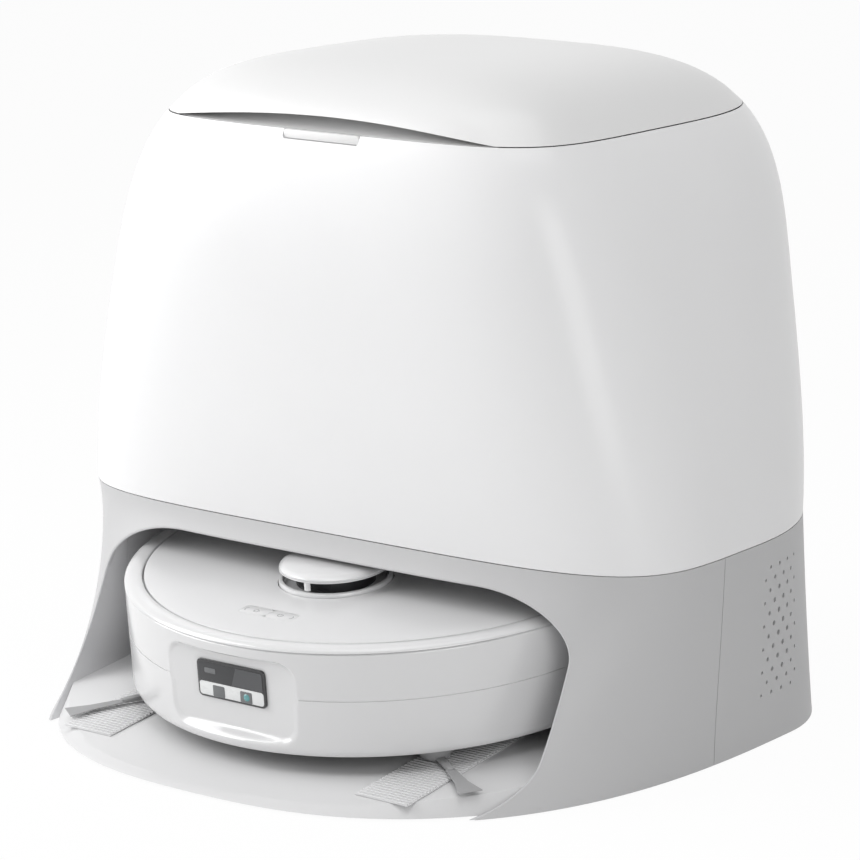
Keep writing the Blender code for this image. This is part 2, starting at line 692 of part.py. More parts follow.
def make_tank(name, side, slot, cap_slot):
    centre = side * (TANK_HALF_X + 0.0035)
    z0, z1 = TANK_BOTTOM, TANK_BOTTOM + TANK_HEIGHT
    outer = rounded_rectangle(TANK_HALF_X, TANK_Y - TANK_HALF_Y, TANK_Y + TANK_HALF_Y, 0.018, 4, centre)
    inner = rounded_rectangle(TANK_HALF_X - THIN_WALL, TANK_Y - TANK_HALF_Y + THIN_WALL,
                              TANK_Y + TANK_HALF_Y - THIN_WALL, 0.0155, 4, centre)
    tank = place(name, extruded(name, outer, z0, z1, "Z"), slot)
    room = guide(name + "_room", extruded(name + "_room", inner, z0 + THIN_WALL, z1 + 0.05, "Z"))
    boolean(tank, room)
    cap = place(name + "_cap", extruded(name + "_cap", outer, z1 + GAP, z1 + 0.0060, "Z"), cap_slot)
    low = (centre - 0.0340, TANK_Y - 0.0060, z1 + 0.0040)
    handle_top = z1 + 0.0260
    handle = guide(name + "_handle", box_mesh(name + "_handle", low, (centre + 0.0340, TANK_Y + 0.0060,
                                                                      handle_top)))
    grip = guide(name + "_grip", box_mesh(name + "_grip", (centre - 0.0260, TANK_Y - 0.05, z1 + 0.0060),
                                          (centre + 0.0260, TANK_Y + 0.05, handle_top - 0.0060)))
    boolean(handle, grip)
    boolean(cap, handle, "UNION")


def make_dust_side():
    """Dust bag in its holder ahead of the tanks, with the duct down to the garage."""
    z0 = TANK_BOTTOM
    back = TANK_Y - TANK_HALF_Y - 0.0060
    front = back - 0.1050
    holder = place("bag_holder", box_mesh("bag_holder", (-0.1150, front, z0),
                                          (0.1150, back, z0 + 0.1500)), "inner_grey", smooth=False)
    room = guide("bag_room", box_mesh("bag_room", (-0.1130, front + 0.0020, z0 + 0.0020),
                                      (0.1130, back - 0.0020, z0 + 0.20)))
    boolean(holder, room)
    bag = place("dust_bag", box_mesh("dust_bag", (-0.1080, front + 0.0060, z0 + 0.0020 + GAP),
                                     (0.1080, back - 0.0060, z0 + 0.1380)), "paper_bag")
    bevel(bag, 0.0160, 3)
    rear = GARAGE_REAR + THIN_WALL + GAP
    shelf = ramp_z(GARAGE_REAR) + GAP
    motor = [(0.0, 0.0700), (0.0160, 0.0700), (0.0200, 0.0640), (0.0200, 0.0060), (0.0160, 0.0),
             (0.0, 0.0)]
    turned("suction_motor", motor, "black_plastic", (-0.0700, rear + 0.0205, shelf), steps=18)
    place("dust_duct", box_mesh("dust_duct", (-0.0150, rear, shelf),
                                (0.0150, rear + 0.0260,
                                 TANK_BOTTOM - BAY_THICKNESS - 2 * GAP)), "inner_grey", smooth=False)
    duct_room = guide("duct_room", box_mesh("duct_room", (-0.0125, rear + 0.0025, shelf + 0.0030),
                                            (0.0125, rear + 0.0235, 0.30)))
    boolean(bpy.data.objects["dust_duct"], duct_room)
    board = (0.0240, rear, shelf + 0.0400)
    place("control_board", box_mesh("control_board", board, (0.1000, rear + 0.0016, shelf + 0.0900)),
          "board_green", smooth=False)
    side_x = GARAGE_HALF + THIN_WALL + GAP
    fan = [(0.0, 0.0180), (0.0220, 0.0180), (0.0240, 0.0160), (0.0240, 0.0), (0.0, 0.0)]
    blower = turned("drying_fan", fan, "black_plastic", (side_x, VENT_Y, VENT_Z), steps=18)
    blower.rotation_euler = (0.0, math.pi / 2, 0.0)


# ---- robot --------------------------------------------------------------------------------

def robot_frame():
    frame = bpy.data.objects.new("robot_frame", None)
    PARTS.objects.link(frame)
    frame.location = (0.0, ROBOT_Y, ROBOT_Z)
    frame.rotation_euler = (ROBOT_PITCH, 0.0, 0.0)
    return frame


def make_chassis(frame):
    wall, floor = CHASSIS_WALL_RADIUS, CHASSIS_FLOOR
    top = ROBOT_HEIGHT - 0.0040
    points = [(0.0, floor), (wall - 0.0030, floor), (wall - 0.0030, top), (wall, top),
              (wall, floor), (CHASSIS_RADIUS, floor), (CHASSIS_RADIUS, 0.0), (0.0, 0.0)]
    chassis = turned("chassis", points, "black_plastic", parent=frame, steps=48)
    half = WHEEL_WIDTH / 2 + WELL_GAP
    for side in (-1, 1):
        low = (side * WHEEL_X - half, -WHEEL_RADIUS - 0.006, -0.02)
        high = (side * WHEEL_X + half, WHEEL_RADIUS + 0.006, floor + 0.01)
        well = guide("wheel_well_%d" % side, box_mesh("wheel_well", low, high), parent=frame)
        boolean(chassis, well)
        hub = cylinder_mesh("brush_well", 0.0124, 0.03, "Z", (side * SIDE_BRUSH_X, SIDE_BRUSH_Y, 0.0), 16)
        boolean(chassis, guide("brush_well_%d" % side, hub, parent=frame))
        mop = cylinder_mesh("mop_shaft_hole", 0.0100, 0.03, "Z", (side * MOP_X, MOP_Y, 0.0), 12)
        boolean(chassis, guide("mop_shaft_hole_%d" % side, mop, parent=frame))
    slot = box_mesh("roller_slot", (-ROLLER_HALF - GAP, ROLLER_Y - ROLLER_RADIUS - 0.003, -0.02),
                    (ROLLER_HALF + GAP, ROLLER_Y + ROLLER_RADIUS + 0.003, 0.02))
    boolean(chassis, guide("roller_slot", slot, parent=frame))
    post = cylinder_mesh("caster_hole", CASTER_DRUM + GAP * 2, 0.03, "Z", (0, CASTER_Y, 0), 20)
    boolean(chassis, guide("caster_hole", post, parent=frame))


def ring_profile(low, high, inner, outer_low, outer_high):
    return [(inner, high), (outer_high - 0.0010, high), (outer_high, high - 0.0010),
            (outer_low, low + 0.0010), (outer_low - 0.0010, low), (inner, low)]


def make_bumper(frame):
    inner = ROBOT_RADIUS - BUMPER_WALL
    split = 0.0002
    low_radius = ROBOT_RADIUS - 0.0014
    rows = (("bumper_lower", 0.0008, BUMPER_SPLIT - split, low_radius, ROBOT_RADIUS - 0.0008),
            ("bumper_upper", BUMPER_SPLIT + split, ROBOT_HEIGHT - 0.0005, ROBOT_RADIUS, ROBOT_RADIUS))
    keep = guide("bumper_end", box_mesh("bumper_end", (-0.3, BUMPER_END_Y, -0.1), (0.3, 0.3, 0.2)),
                 parent=frame)
    pocket = rounded_rectangle(POCKET_HALF, POCKET_BOTTOM, POCKET_TOP, 0.014)
    opening = guide("pocket", extruded("pocket", pocket, -0.30, -0.10, "Y"), parent=frame)
    for name, low, high, outer_low, outer_high in rows:
        points = ring_profile(low, high, inner, outer_low, outer_high)
        ring = turned(name, points, "robot_white", parent=frame, steps=60, closed=True)
        boolean(ring, keep)
        boolean(ring, opening)
    face = -ROBOT_RADIUS + POCKET_DEPTH
    plate = rounded_rectangle(POCKET_HALF - GAP, POCKET_BOTTOM + GAP, POCKET_TOP - GAP, 0.014 - GAP)
    place("window_housing", extruded("window_housing", plate, face, face + 0.0030, "Y"), "robot_white",
          parent=frame)
    glass = rounded_rectangle(WINDOW_HALF, WINDOW_BOTTOM, WINDOW_TOP, 0.0030, 3)
    place("sensor_window", extruded("sensor_window", glass, face - GAP - 0.0018, face - GAP, "Y"),
          "black_glass", parent=frame)
    front = face - GAP * 2 - 0.0018
    panel = rounded_rectangle(WINDOW_HALF - 0.0022, WINDOW_BOTTOM + 0.0022, WINDOW_SPLIT, 0.0012, 2)
    place("sensor_panel", extruded("sensor_panel", panel, front - 0.0005, front, "Y"), "satin_white",
          parent=frame)


def make_rear_shell(frame):
    inner = ROBOT_RADIUS - BUMPER_WALL
    ledge = CHASSIS_RADIUS + GAP
    low, high = 0.0006, ROBOT_HEIGHT - 0.0003
    points = [(inner, high), (ROBOT_RADIUS - 0.0010, high), (ROBOT_RADIUS, high - 0.0010),
              (ROBOT_RADIUS - 0.0014, low + 0.0010), (ROBOT_RADIUS - 0.0024, low), (ledge, low),
              (ledge, low + 0.0024), (inner, low + 0.0024)]
    rear = turned("rear_shell", points, "robot_white", parent=frame, steps=60, closed=True)
    edge = BUMPER_END_Y + BUMPER_TRAVEL + GAP * 2
    ahead = guide("rear_shell_end", box_mesh("rear_shell_end", (-0.3, -0.3, -0.1), (0.3, edge, 0.2)),
                  parent=frame)
    boolean(rear, ahead)
    level = (CONTACT_Z - ROBOT_Z - math.sin(ROBOT_PITCH) * ROBOT_RADIUS) / math.cos(ROBOT_PITCH)
    half = CONTACT_X + CONTACT_HALF + 0.0010
    y = math.sqrt(ROBOT_RADIUS ** 2 - half ** 2)
    low_corner = (-half, y - 0.0040, level - 0.0070)
    high_corner = (half, y, level + 0.0070)
    grown = box_mesh("pad_hole", [v - GAP for v in low_corner],
                     (half + GAP, y + 0.03, level + 0.0070 + GAP))
    boolean(rear, guide("pad_hole", grown, parent=frame))
    pads = place("charge_pads", box_mesh("charge_pads", low_corner, high_corner), "contact_metal",
                 parent=frame)
    between = CONTACT_X - CONTACT_HALF - 0.0010
    groove = box_mesh("pad_groove", (-between, y - 0.0015, level - 0.02),
                      (between, y + 0.01, level + 0.02))
    boolean(pads, guide("pad_groove", groove, parent=frame))


def make_top(frame):
    r = ROBOT_RADIUS
    h = ROBOT_HEIGHT
    inner = TOP_RADIUS + COVER_GAP
    ledge = TOP_RADIUS - 0.0095
    rim = [(inner, h + 0.0029), (r - 0.0060, h + 0.0031), (r - 0.0012, h + 0.0022), (r, h + 0.0008),
           (r, h), (inner + 0.0022, h), (inner + 0.0022, h - 0.0036), (ledge, h - 0.0036),
           (ledge, h - 0.0020), (inner, h - 0.0020)]
    turned("top_rim", rim, "robot_white", parent=frame, steps=48, closed=True)
    skin = [(0.0, h + 0.0046), (0.0800, h + 0.0043), (0.1300, h + 0.0036),
            (TOP_RADIUS - 0.0006, h + 0.0028), (TOP_RADIUS, h + 0.0024),
            (TOP_RADIUS, h - 0.0007), (0.1300, h + 0.0012), (0.0800, h + 0.0019), (0.0, h + 0.0022)]
    cover = turned("top_cover", skin, "robot_white", parent=frame, steps=48)
    well = cylinder_mesh("turret_hole", TURRET_RADIUS + GAP * 2, 0.05, "Z", (0, TURRET_Y, h), 36)
    boolean(cover, guide("turret_hole", well, parent=frame))
    for side, word in ((-1, "home"), (1, "power")):
        centre = side * (BUTTON_LENGTH / 2 + GAP)
        outline = rounded_rectangle(BUTTON_LENGTH / 2, BUTTON_Y - BUTTON_WIDTH / 2,
                                    BUTTON_Y + BUTTON_WIDTH / 2, 0.0030, 3, centre)
        key = extruded("key", outline, h - 0.0010, h + 0.0037, "Z")
        place(word + "_button", key, "robot_white", parent=frame)
    hole = rounded_rectangle(BUTTON_LENGTH + GAP * 2, BUTTON_Y - BUTTON_WIDTH / 2 - GAP,
                             BUTTON_Y + BUTTON_WIDTH / 2 + GAP, 0.0030, 3)
    boolean(cover, guide("button_hole", extruded("button_hole", hole, h - 0.01, h + 0.02, "Z"),
                         parent=frame))


def make_turret(frame):
    h = ROBOT_HEIGHT
    where = (0.0, TURRET_Y, 0.0)
    ring_top = h + 0.0068
    base = [(0.0, ring_top - 0.0040), (TURRET_RADIUS - 0.0040, ring_top - 0.0040),
            (TURRET_RADIUS - 0.0030, ring_top),
            (TURRET_RADIUS - 0.0006, ring_top), (TURRET_RADIUS, ring_top - 0.0006),
            (TURRET_RADIUS, h - 0.0010), (0.0, h - 0.0010)]
    turned("lidar_base", base, "robot_white", where, frame, steps=36)
    cap_low = TURRET_TOP - CAP_THICKNESS
    rotor_low = ring_top - 0.0040 + GAP
    rotor = [(0.0, cap_low - 0.0012), (0.0240, cap_low - 0.0012), (0.0260, cap_low - 0.0030),
             (0.0260, rotor_low), (0.0, rotor_low)]
    spinner = turned("lidar_rotor", rotor, "black_plastic", where, frame, steps=28)
    flat = box_mesh("rotor_flat", (-0.020, -0.060, rotor_low + 0.0020), (0.020, -0.0225, cap_low))
    boolean(spinner, guide("rotor_flat", flat, where, frame))
    r = TURRET_RADIUS - 0.0008
    cap = [(0.0, TURRET_TOP), (r - 0.0090, TURRET_TOP - 0.0004), (r - 0.0020, TURRET_TOP - 0.0018),
           (r, TURRET_TOP - 0.0040),
           (r, cap_low), (0.0, cap_low)]
    lid = turned("lidar_cap", cap, "robot_white", where, frame, steps=36)
    post_low = ring_top + CAP_TRAVEL + GAP
    for step in range(CAP_POSTS):
        angle = math.radians(276 + 360 / CAP_POSTS * step)
        centre = ((r - 0.0022) * math.cos(angle), (r - 0.0022) * math.sin(angle),
                  (post_low + cap_low + 0.001) / 2)
        post = cylinder_mesh("post", 0.0018, cap_low + 0.001 - post_low, "Z", centre, 8)
        boolean(lid, guide("post_%d" % step, post, where, frame), "UNION")


def make_drive(frame):
    axle_h = WHEEL_RADIUS - ROBOT_CLEARANCE + 0.0002
    for side, word in ((-1, "left"), (1, "right")):
        x = side * WHEEL_X
        arm_low = side * (WHEEL_X - WHEEL_WIDTH / 2 - 0.0135)
        arm_high = side * (WHEEL_X - WHEEL_WIDTH / 2 - 0.0015)
        a, b = sorted((arm_low, arm_high))
        arm = place("drive_gearbox_" + word, box_mesh("arm", (a, SUSPENSION_Y - 0.0060, axle_h - 0.0120),
                                                      (b, 0.0160,
                                                       axle_h + 0.0200)), "black_plastic", parent=frame)
        bevel(arm, 0.0030, 1)
        stub_low, stub_high = sorted((arm_high - side * 0.002,
                                      side * (WHEEL_X + WHEEL_WIDTH / 2 - 0.003)))
        stub = cylinder_mesh("stub", AXLE_RADIUS, stub_high - stub_low, "X",
                             ((stub_low + stub_high) / 2, 0, axle_h), 12)
        boolean(arm, guide("stub_" + word, stub, parent=frame), "UNION")
        half = WHEEL_WIDTH / 2
        tyre = [(AXLE_RADIUS + GAP, half), (0.0200, half), (0.0220, half - 0.0020),
                (WHEEL_RADIUS - 0.0060, half - 0.0020),
                (WHEEL_RADIUS - 0.0020, half), (WHEEL_RADIUS, half - 0.0030), (WHEEL_RADIUS,
                                                                               0.0030 - half), (WHEEL_RADIUS - 0.0020, -half), (AXLE_RADIUS + GAP, -half)]
        wheel = turned("drive_wheel_" + word, tyre, "rubber", (x, 0.0, axle_h), frame, steps=24,
                       closed=True)
        wheel.rotation_euler = (0.0, math.pi / 2 * side, 0.0)
    fork_low = CASTER_RADIUS - ROBOT_CLEARANCE
    drum = CASTER_DRUM
    stem = [(0.0, 0.0120), (drum - 0.0010, 0.0120), (drum, 0.0110), (drum, 0.0058),
            (drum + 0.0026, 0.0058),
            (drum + 0.0026, CHASSIS_FLOOR + GAP), (drum, CHASSIS_FLOOR + GAP), (drum, -0.0036), (0.0,
                                                                                                 -0.0036)]
    fork = turned("caster_fork", stem, "black_plastic", (0, CASTER_Y, 0), frame, steps=20)
    slot = cylinder_mesh("caster_slot", CASTER_RADIUS + 0.0008, 0.0118, "X", (0, 0, fork_low), 16)
    boolean(fork, guide("caster_slot", slot, (0, CASTER_Y, 0), frame))
    axle = cylinder_mesh("caster_axle", 0.0012, 0.0150, "X", (0, 0, fork_low), 8)
    boolean(fork, guide("caster_axle", axle, (0, CASTER_Y, 0), frame), "UNION")
    roll = [(0.0015, 0.0050), (CASTER_RADIUS - 0.0008, 0.0050), (CASTER_RADIUS, 0.0040),
            (CASTER_RADIUS, -0.0040),
            (CASTER_RADIUS - 0.0008, -0.0050), (0.0015, -0.0050)]
    wheel = turned("caster_wheel", roll, "rubber", (0, CASTER_Y, fork_low), frame, steps=20, closed=True)
    wheel.rotation_euler = (0.0, math.pi / 2, 0.0)


def make_side_brushes(frame):
    """Hub with two thin flexible blades that widen to a flat tip."""
    level = -0.0082
    for side, word in ((-1, "left"), (1, "right")):
        where = (side * SIDE_BRUSH_X, SIDE_BRUSH_Y, 0.0)
        hub = [(0.0, 0.0060), (0.0080, 0.0060), (0.0120, 0.0010), (0.0120, -0.0030),
               (0.0090, level - 0.0006), (0.0, level - 0.0006)]
        brush = turned("side_brush_" + word, hub, "brush_grey", where, frame, steps=16)
        heading = math.radians(239 if side < 0 else 325)
        for turn in (0, 1):
            angle = heading + math.pi * turn
            outline = [(0.0040, -0.0035), (0.0350, -0.0030), (0.0500, -0.0045),
                       (SIDE_BRUSH_REACH, -0.0080),
                       (SIDE_BRUSH_REACH + 0.0010, 0.0075), (0.0500, 0.0040), (0.0350, 0.0030), (0.0040,
                                                                                                 0.0035)]
            cos, sin = math.cos(angle), math.sin(angle)
            flat = [(x * cos - y * sin, x * sin + y * cos) for x, y in outline]
            blade = extruded("blade", flat, level, level + 0.0010, "Z")
            boolean(brush, guide("blade_%s_%d" % (word, turn), blade, where, frame), "UNION")


def make_cleaning_head(frame):
    axis_h = ROLLER_RADIUS - 0.0030
    core = 0.0090
    outline = []
    fins = 6
    for step in range(fins):
        for share, radius in ((0.0, ROLLER_RADIUS), (0.16, ROLLER_RADIUS), (0.24, core), (0.92, core)):
            angle = 2 * math.pi * (step + share) / fins
            outline.append((radius * math.cos(angle), radius * math.sin(angle)))
    mesh = extruded("main_brush", outline, -ROLLER_HALF, ROLLER_HALF, "X")
    place("main_brush", mesh, "rubber", (0, ROLLER_Y, axis_h), frame, smooth=False)
    for side, word in ((-1, "left"), (1, "right")):
        where = (side * MOP_X, MOP_Y, 0.0)
        disc = [(0.0, 0.0120), (0.0080, 0.0120), (0.0080, -0.0006), (MOP_RADIUS - 0.0030, -0.0006),
                (MOP_RADIUS, -0.0016),
                (MOP_RADIUS, -0.0060), (MOP_RADIUS - 0.0020, -0.0070), (0.0, -0.0070)]
        turned("mop_pad_" + word, disc, "mop_cloth", where, frame, steps=28)


def make_robot_inside(frame):
    floor = CHASSIS_FLOOR + GAP
    bin_box = box_mesh("dustbin", (-0.0780, -0.0340, floor), (0.0780, 0.0300, 0.0560))
    dustbin = place("dustbin", bin_box, "tank_smoke", parent=frame)
    boolean(dustbin, guide("dustbin_room", box_mesh("dustbin_room", (-0.0760, -0.0320, floor + 0.002),
                                                    (0.0760, 0.0280, 0.08)), parent=frame))
    place("battery", box_mesh("battery", (-0.0520, 0.1020, floor), (0.0520, 0.1400, 0.0400)),
          "black_plastic", parent=frame, smooth=False)
    fan = [(0.0, 0.0300), (0.0220, 0.0300), (0.0260, 0.0240), (0.0260, 0.0), (0.0, 0.0)]
    turned("suction_fan", fan, "black_plastic", (0.0, 0.0640, floor), frame, steps=18)


# ---- build --------------------------------------------------------------------------------

clear_scene()
PARTS = new_collection(PART_NAME)
CUTTERS = new_collection("cutters")

make_tray()
make_tracks()
make_wash_board()
make_lower_shells()
make_liner()
make_dock_contacts()
make_upper_shell()
make_lid()
make_lid_tab_and_scoop()
make_bay()
make_tank("clean_tank", -1, "tank_clear", "satin_white")
make_tank("dirty_tank", 1, "tank_smoke", "inner_grey")
make_dust_side()

robot = robot_frame()
make_chassis(robot)
make_bumper(robot)
make_rear_shell(robot)
make_top(robot)
make_turret(robot)
make_drive(robot)
make_side_brushes(robot)
make_cleaning_head(robot)
make_robot_inside(robot)

# the origin goes under the middle of the overall box
rear_most = max(dome_section(angle)[2] for angle in upper_shell_angles())
front_most = tray_section(FLOOR_GAP)[1]
for item in list(PARTS.objects) + list(CUTTERS.objects):
    if item.parent is None:
        item.location.y -= (rear_most + front_most) / 2
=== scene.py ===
import json
import math

import bmesh
import bpy
import numpy as np
from mathutils import Matrix, Vector

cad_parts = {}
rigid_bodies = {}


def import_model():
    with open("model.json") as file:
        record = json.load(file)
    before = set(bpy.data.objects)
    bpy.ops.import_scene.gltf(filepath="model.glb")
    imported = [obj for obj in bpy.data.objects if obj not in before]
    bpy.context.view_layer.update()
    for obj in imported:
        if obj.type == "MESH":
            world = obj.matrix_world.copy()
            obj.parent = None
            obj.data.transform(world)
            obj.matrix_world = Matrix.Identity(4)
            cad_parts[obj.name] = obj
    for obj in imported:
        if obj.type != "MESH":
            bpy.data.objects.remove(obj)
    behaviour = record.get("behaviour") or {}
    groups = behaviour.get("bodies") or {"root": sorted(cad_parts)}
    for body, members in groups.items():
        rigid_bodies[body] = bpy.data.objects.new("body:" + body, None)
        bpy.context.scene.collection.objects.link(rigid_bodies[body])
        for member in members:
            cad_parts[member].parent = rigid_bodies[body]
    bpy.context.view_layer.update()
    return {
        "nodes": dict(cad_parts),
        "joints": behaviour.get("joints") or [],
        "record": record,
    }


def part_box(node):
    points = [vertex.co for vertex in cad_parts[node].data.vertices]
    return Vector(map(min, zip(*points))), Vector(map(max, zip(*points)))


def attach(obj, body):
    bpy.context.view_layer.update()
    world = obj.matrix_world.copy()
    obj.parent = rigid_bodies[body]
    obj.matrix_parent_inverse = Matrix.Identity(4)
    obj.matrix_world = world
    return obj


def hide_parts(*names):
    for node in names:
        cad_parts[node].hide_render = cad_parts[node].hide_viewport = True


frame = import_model()
joints = {joint["name"]: joint for joint in frame["joints"]}
print("frame loaded:", len(frame["nodes"]), "nodes")

# the dock's centre line and the parked robot's own frame, both taken from the joints
dockY = joints["lid_open"]["pos_m"][1] - 0.2050
robotUp = Vector(joints["lidar_spin"]["axis"]).normalized()
robotBack = Vector((0.0, robotUp.z, -robotUp.y))
robotCentre = Vector(joints["lidar_spin"]["pos_m"]) - robotUp * 0.08 + robotBack * 0.056
robotPlace = Matrix((
    (1.0, 0.0, 0.0, robotCentre.x),
    (0.0, robotBack.y, robotUp.y, robotCentre.y),
    (0.0, robotBack.z, robotUp.z, robotCentre.z),
    (0.0, 0.0, 0.0, 1.0)))
dockPlace = Matrix.Translation((0.0, dockY, 0.0))


# working with pieces

def clearSelection():
    for other in bpy.data.objects:
        other.select_set(False)


def pick(piece):
    clearSelection()
    piece.select_set(True)
    bpy.context.view_layer.objects.active = piece


def editing(piece):
    pick(piece)
    bpy.ops.object.mode_set(mode="EDIT")
    return bmesh.from_edit_mesh(piece.data)


def applyPlace():
    bpy.ops.object.transform_apply(location=True, rotation=True, scale=True)


def selectMesh():
    bpy.ops.mesh.select_all(action="SELECT")


def doneEditing():
    bpy.ops.object.mode_set(mode="OBJECT")


def named(name):
    piece = bpy.context.object
    piece.name = name
    piece.data.name = name
    return piece


def settle(piece, place):
    piece.matrix_world = place @ piece.matrix_world
    pick(piece)
    applyPlace()


def tidyNormals(piece, merge=0.00002):
    editing(piece)
    selectMesh()
    bpy.ops.mesh.remove_doubles(threshold=merge)
    bpy.ops.mesh.normals_make_consistent(inside=False)
    doneEditing()


def smooth(piece, angle=30):
    pick(piece)
    bpy.ops.object.shade_smooth_by_angle(angle=math.radians(angle))


def addModifier(piece, kind, **settings):
    pick(piece)
    modifier = piece.modifiers.new(kind.lower(), kind)
    for key, value in settings.items():
        setattr(modifier, key, value)
    bpy.ops.object.modifier_apply(modifier=modifier.name)


def roundEdges(piece, width, segments=2, angle=40):
    addModifier(piece, "BEVEL", width=width, segments=segments, limit_method="ANGLE",
                angle_limit=math.radians(angle), harden_normals=False)


def cut(piece, cutter, operation="DIFFERENCE"):
    addModifier(piece, "BOOLEAN", object=cutter, operation=operation, solver="EXACT")
    bpy.data.objects.remove(cutter)


def join(pieces, name):
    clearSelection()
    for piece in pieces:
        piece.select_set(True)
    bpy.context.view_layer.objects.active = pieces[0]
    bpy.ops.object.join()
    return named(name)


def copyOf(piece, place):
    pick(piece)
    bpy.ops.object.duplicate(linked=False)
    twin = bpy.context.object
    twin.matrix_world = place @ twin.matrix_world
    applyPlace()
    return twin


def sliced(piece, plane_co, plane_no, **kept):
    editing(piece)
    selectMesh()
    bpy.ops.mesh.bisect(plane_co=plane_co, plane_no=plane_no, **kept)
    doneEditing()


def handOver(piece, body, finish, stands=()):
    piece.data.materials.clear()
    piece.data.materials.append(finishes[finish])
    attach(piece, body)
    if stands:
        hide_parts(*stands)


def present(piece, angle, place, body, finish, stands=()):
    smooth(piece, angle)
    settle(piece, place)
    handOver(piece, body, finish, stands)


# shapes

def raiseRings(name, rings, closeTop=False, closeBottom=False):
    clearSelection()
    bpy.ops.mesh.primitive_circle_add(vertices=len(rings[0]), radius=0.1)
    piece = named(name)
    sheet = editing(piece)
    station = sheet.verts.layers.int.new("station")
    for k, vert in enumerate(sheet.verts):
        vert[station] = k
        vert.co = rings[0][k]
    bmesh.update_edit_mesh(piece.data)
    selectMesh()
    if closeBottom:
        bpy.ops.mesh.edge_face_add()
    for ring in rings[1:]:
        bpy.ops.mesh.extrude_region_move()
        sheet = bmesh.from_edit_mesh(piece.data)
        station = sheet.verts.layers.int["station"]
        for vert in sheet.verts:
            if vert.select:
                vert.co = ring[vert[station]]
        bmesh.update_edit_mesh(piece.data)
    if closeTop and not closeBottom:
        bpy.ops.mesh.edge_face_add()
    selectMesh()
    bpy.ops.mesh.normals_make_consistent(inside=False)
    doneEditing()
    return piece


def spun(name, profile, steps=128, closed=False):
    clearSelection()
    bpy.ops.mesh.primitive_plane_add(size=0.01)
    piece = named(name)
    editing(piece)
    selectMesh()
    bpy.ops.mesh.merge(type="CENTER")
    sheet = bmesh.from_edit_mesh(piece.data)
    for vert in sheet.verts:
        vert.co = (profile[0][0], 0.0, profile[0][1])
        vert.select = True
    bmesh.update_edit_mesh(piece.data)
    at = profile[0]
    for radius, height in profile[1:]:
        bpy.ops.mesh.extrude_region_move(TRANSFORM_OT_translate={"value": (radius - at[0], 0.0,
            height - at[1])})
        at = (radius, height)
    if closed:
        selectMesh()
        sheet = bmesh.from_edit_mesh(piece.data)
        ends = [vert for vert in sheet.verts if len(vert.link_edges) == 1]
        sheet.edges.new(ends)
        bmesh.update_edit_mesh(piece.data)
    selectMesh()
    bpy.ops.mesh.spin(steps=steps, angle=2 * math.pi, center=(0, 0, 0), axis=(0, 0, 1))
    doneEditing()
    tidyNormals(piece)
    return piece


def drawnUp(name, outline, low, high, axis="Z"):
    clearSelection()
    bpy.ops.mesh.primitive_circle_add(vertices=len(outline), radius=0.01, fill_type="NGON")
    piece = named(name)
    sheet = editing(piece)
    turn = {"Z": lambda a, b, c: (a, b, c), "Y": lambda a, b, c: (a, c, b), "X": lambda a, b,
        c: (c, a, b)}[axis]
    for vert, (a, b) in zip(sheet.verts, outline):
        vert.co = turn(a, b, low)
    bmesh.update_edit_mesh(piece.data)
    selectMesh()
    bpy.ops.mesh.extrude_region_move(TRANSFORM_OT_translate={"value": turn(0.0, 0.0, high - low)})
    selectMesh()
    bpy.ops.mesh.normals_make_consistent(inside=False)
    doneEditing()
    return piece


def block(name, low, high):
    clearSelection()
    middle = [(a + b) / 2 for a, b in zip(low, high)]
    bpy.ops.mesh.primitive_cube_add(size=1.0, location=middle, scale=[b - a for a, b in zip(low, high)])
    piece = named(name)
    applyPlace()
    return piece


def roundedOutline(half, low, high, radius, perCorner=8, centre=0.0):
    points = []
    for a, b, start in ((half - radius, high - radius, 0), (radius - half, high - radius, 90),
                        (radius - half, low + radius, 180), (half - radius, low + radius, 270)):
        for step in range(perCorner + 1):
            angle = math.radians(start + 90.0 * step / perCorner)
            points.append((centre + a + radius * math.cos(angle), b + radius * math.sin(angle)))
    return points


# the dock's outer form

dome = {
    "half": 0.2402, "frontReach": 0.1355, "rearReach": 0.1953, "centreY": 0.0217,
    "seamZ": 0.1390, "lidZ": 0.4006, "topZ": 0.4395, "wall": 0.0030, "seamGap": 0.0006,
    "angles": (0.0, 30.0, 60.0, 80.0, 90.0),
    "wide": (1.000, 0.950, 0.965, 1.036, 1.040),
    "front": (1.000, 1.195, 1.445, 1.630, 1.645),
    "rear": (1.000, 1.202, 1.368, 1.400, 1.403),
    "frontPower": (4.70, 4.40, 4.85, 4.15, 3.70),
    "rearPower": (2.30, 2.45, 3.20, 3.05, 2.90),
}
skirt = {
    "footHalf": 0.2369, "footFront": -0.2571, "footRear": 0.2189, "footCentreY": 0.0779, "flare": 1.65,
    "frontPower": 2.70, "rearPower": 2.07, "splitY": -0.0140,
}


def smoothValue(x, xs, ys):
    last = len(xs) - 1
    index = max(0, min(last - 1, sum(1 for value in xs[1:-1] if value <= x)))
    slopes = []
    for k in (index, index + 1):
        a, b = max(0, k - 1), min(last, k + 1)
        slopes.append((ys[b] - ys[a]) / (xs[b] - xs[a]))
    span = xs[index + 1] - xs[index]
    t = (x - xs[index]) / span
    return ((2 * t**3 - 3 * t**2 + 1) * ys[index] + (t**3 - 2 * t**2 + t) * span * slopes[0]
            + (3 * t**2 - 2 * t**3) * ys[index + 1] + (t**3 - t**2) * span * slopes[1])


def domeSection(angle):
    wide, front, rear, frontPower, rearPower = (
        smoothValue(angle, dome["angles"], dome[key]) for key in ("wide", "front", "rear", "frontPower",
            "rearPower"))
    shrink = math.sqrt(max(0.0, math.cos(math.radians(angle))))
    centre = dome["centreY"]
    return (dome["half"] * wide * shrink, centre - dome["frontReach"] * front * shrink,
            centre + dome["rearReach"] * rear * shrink, centre, frontPower, rearPower)


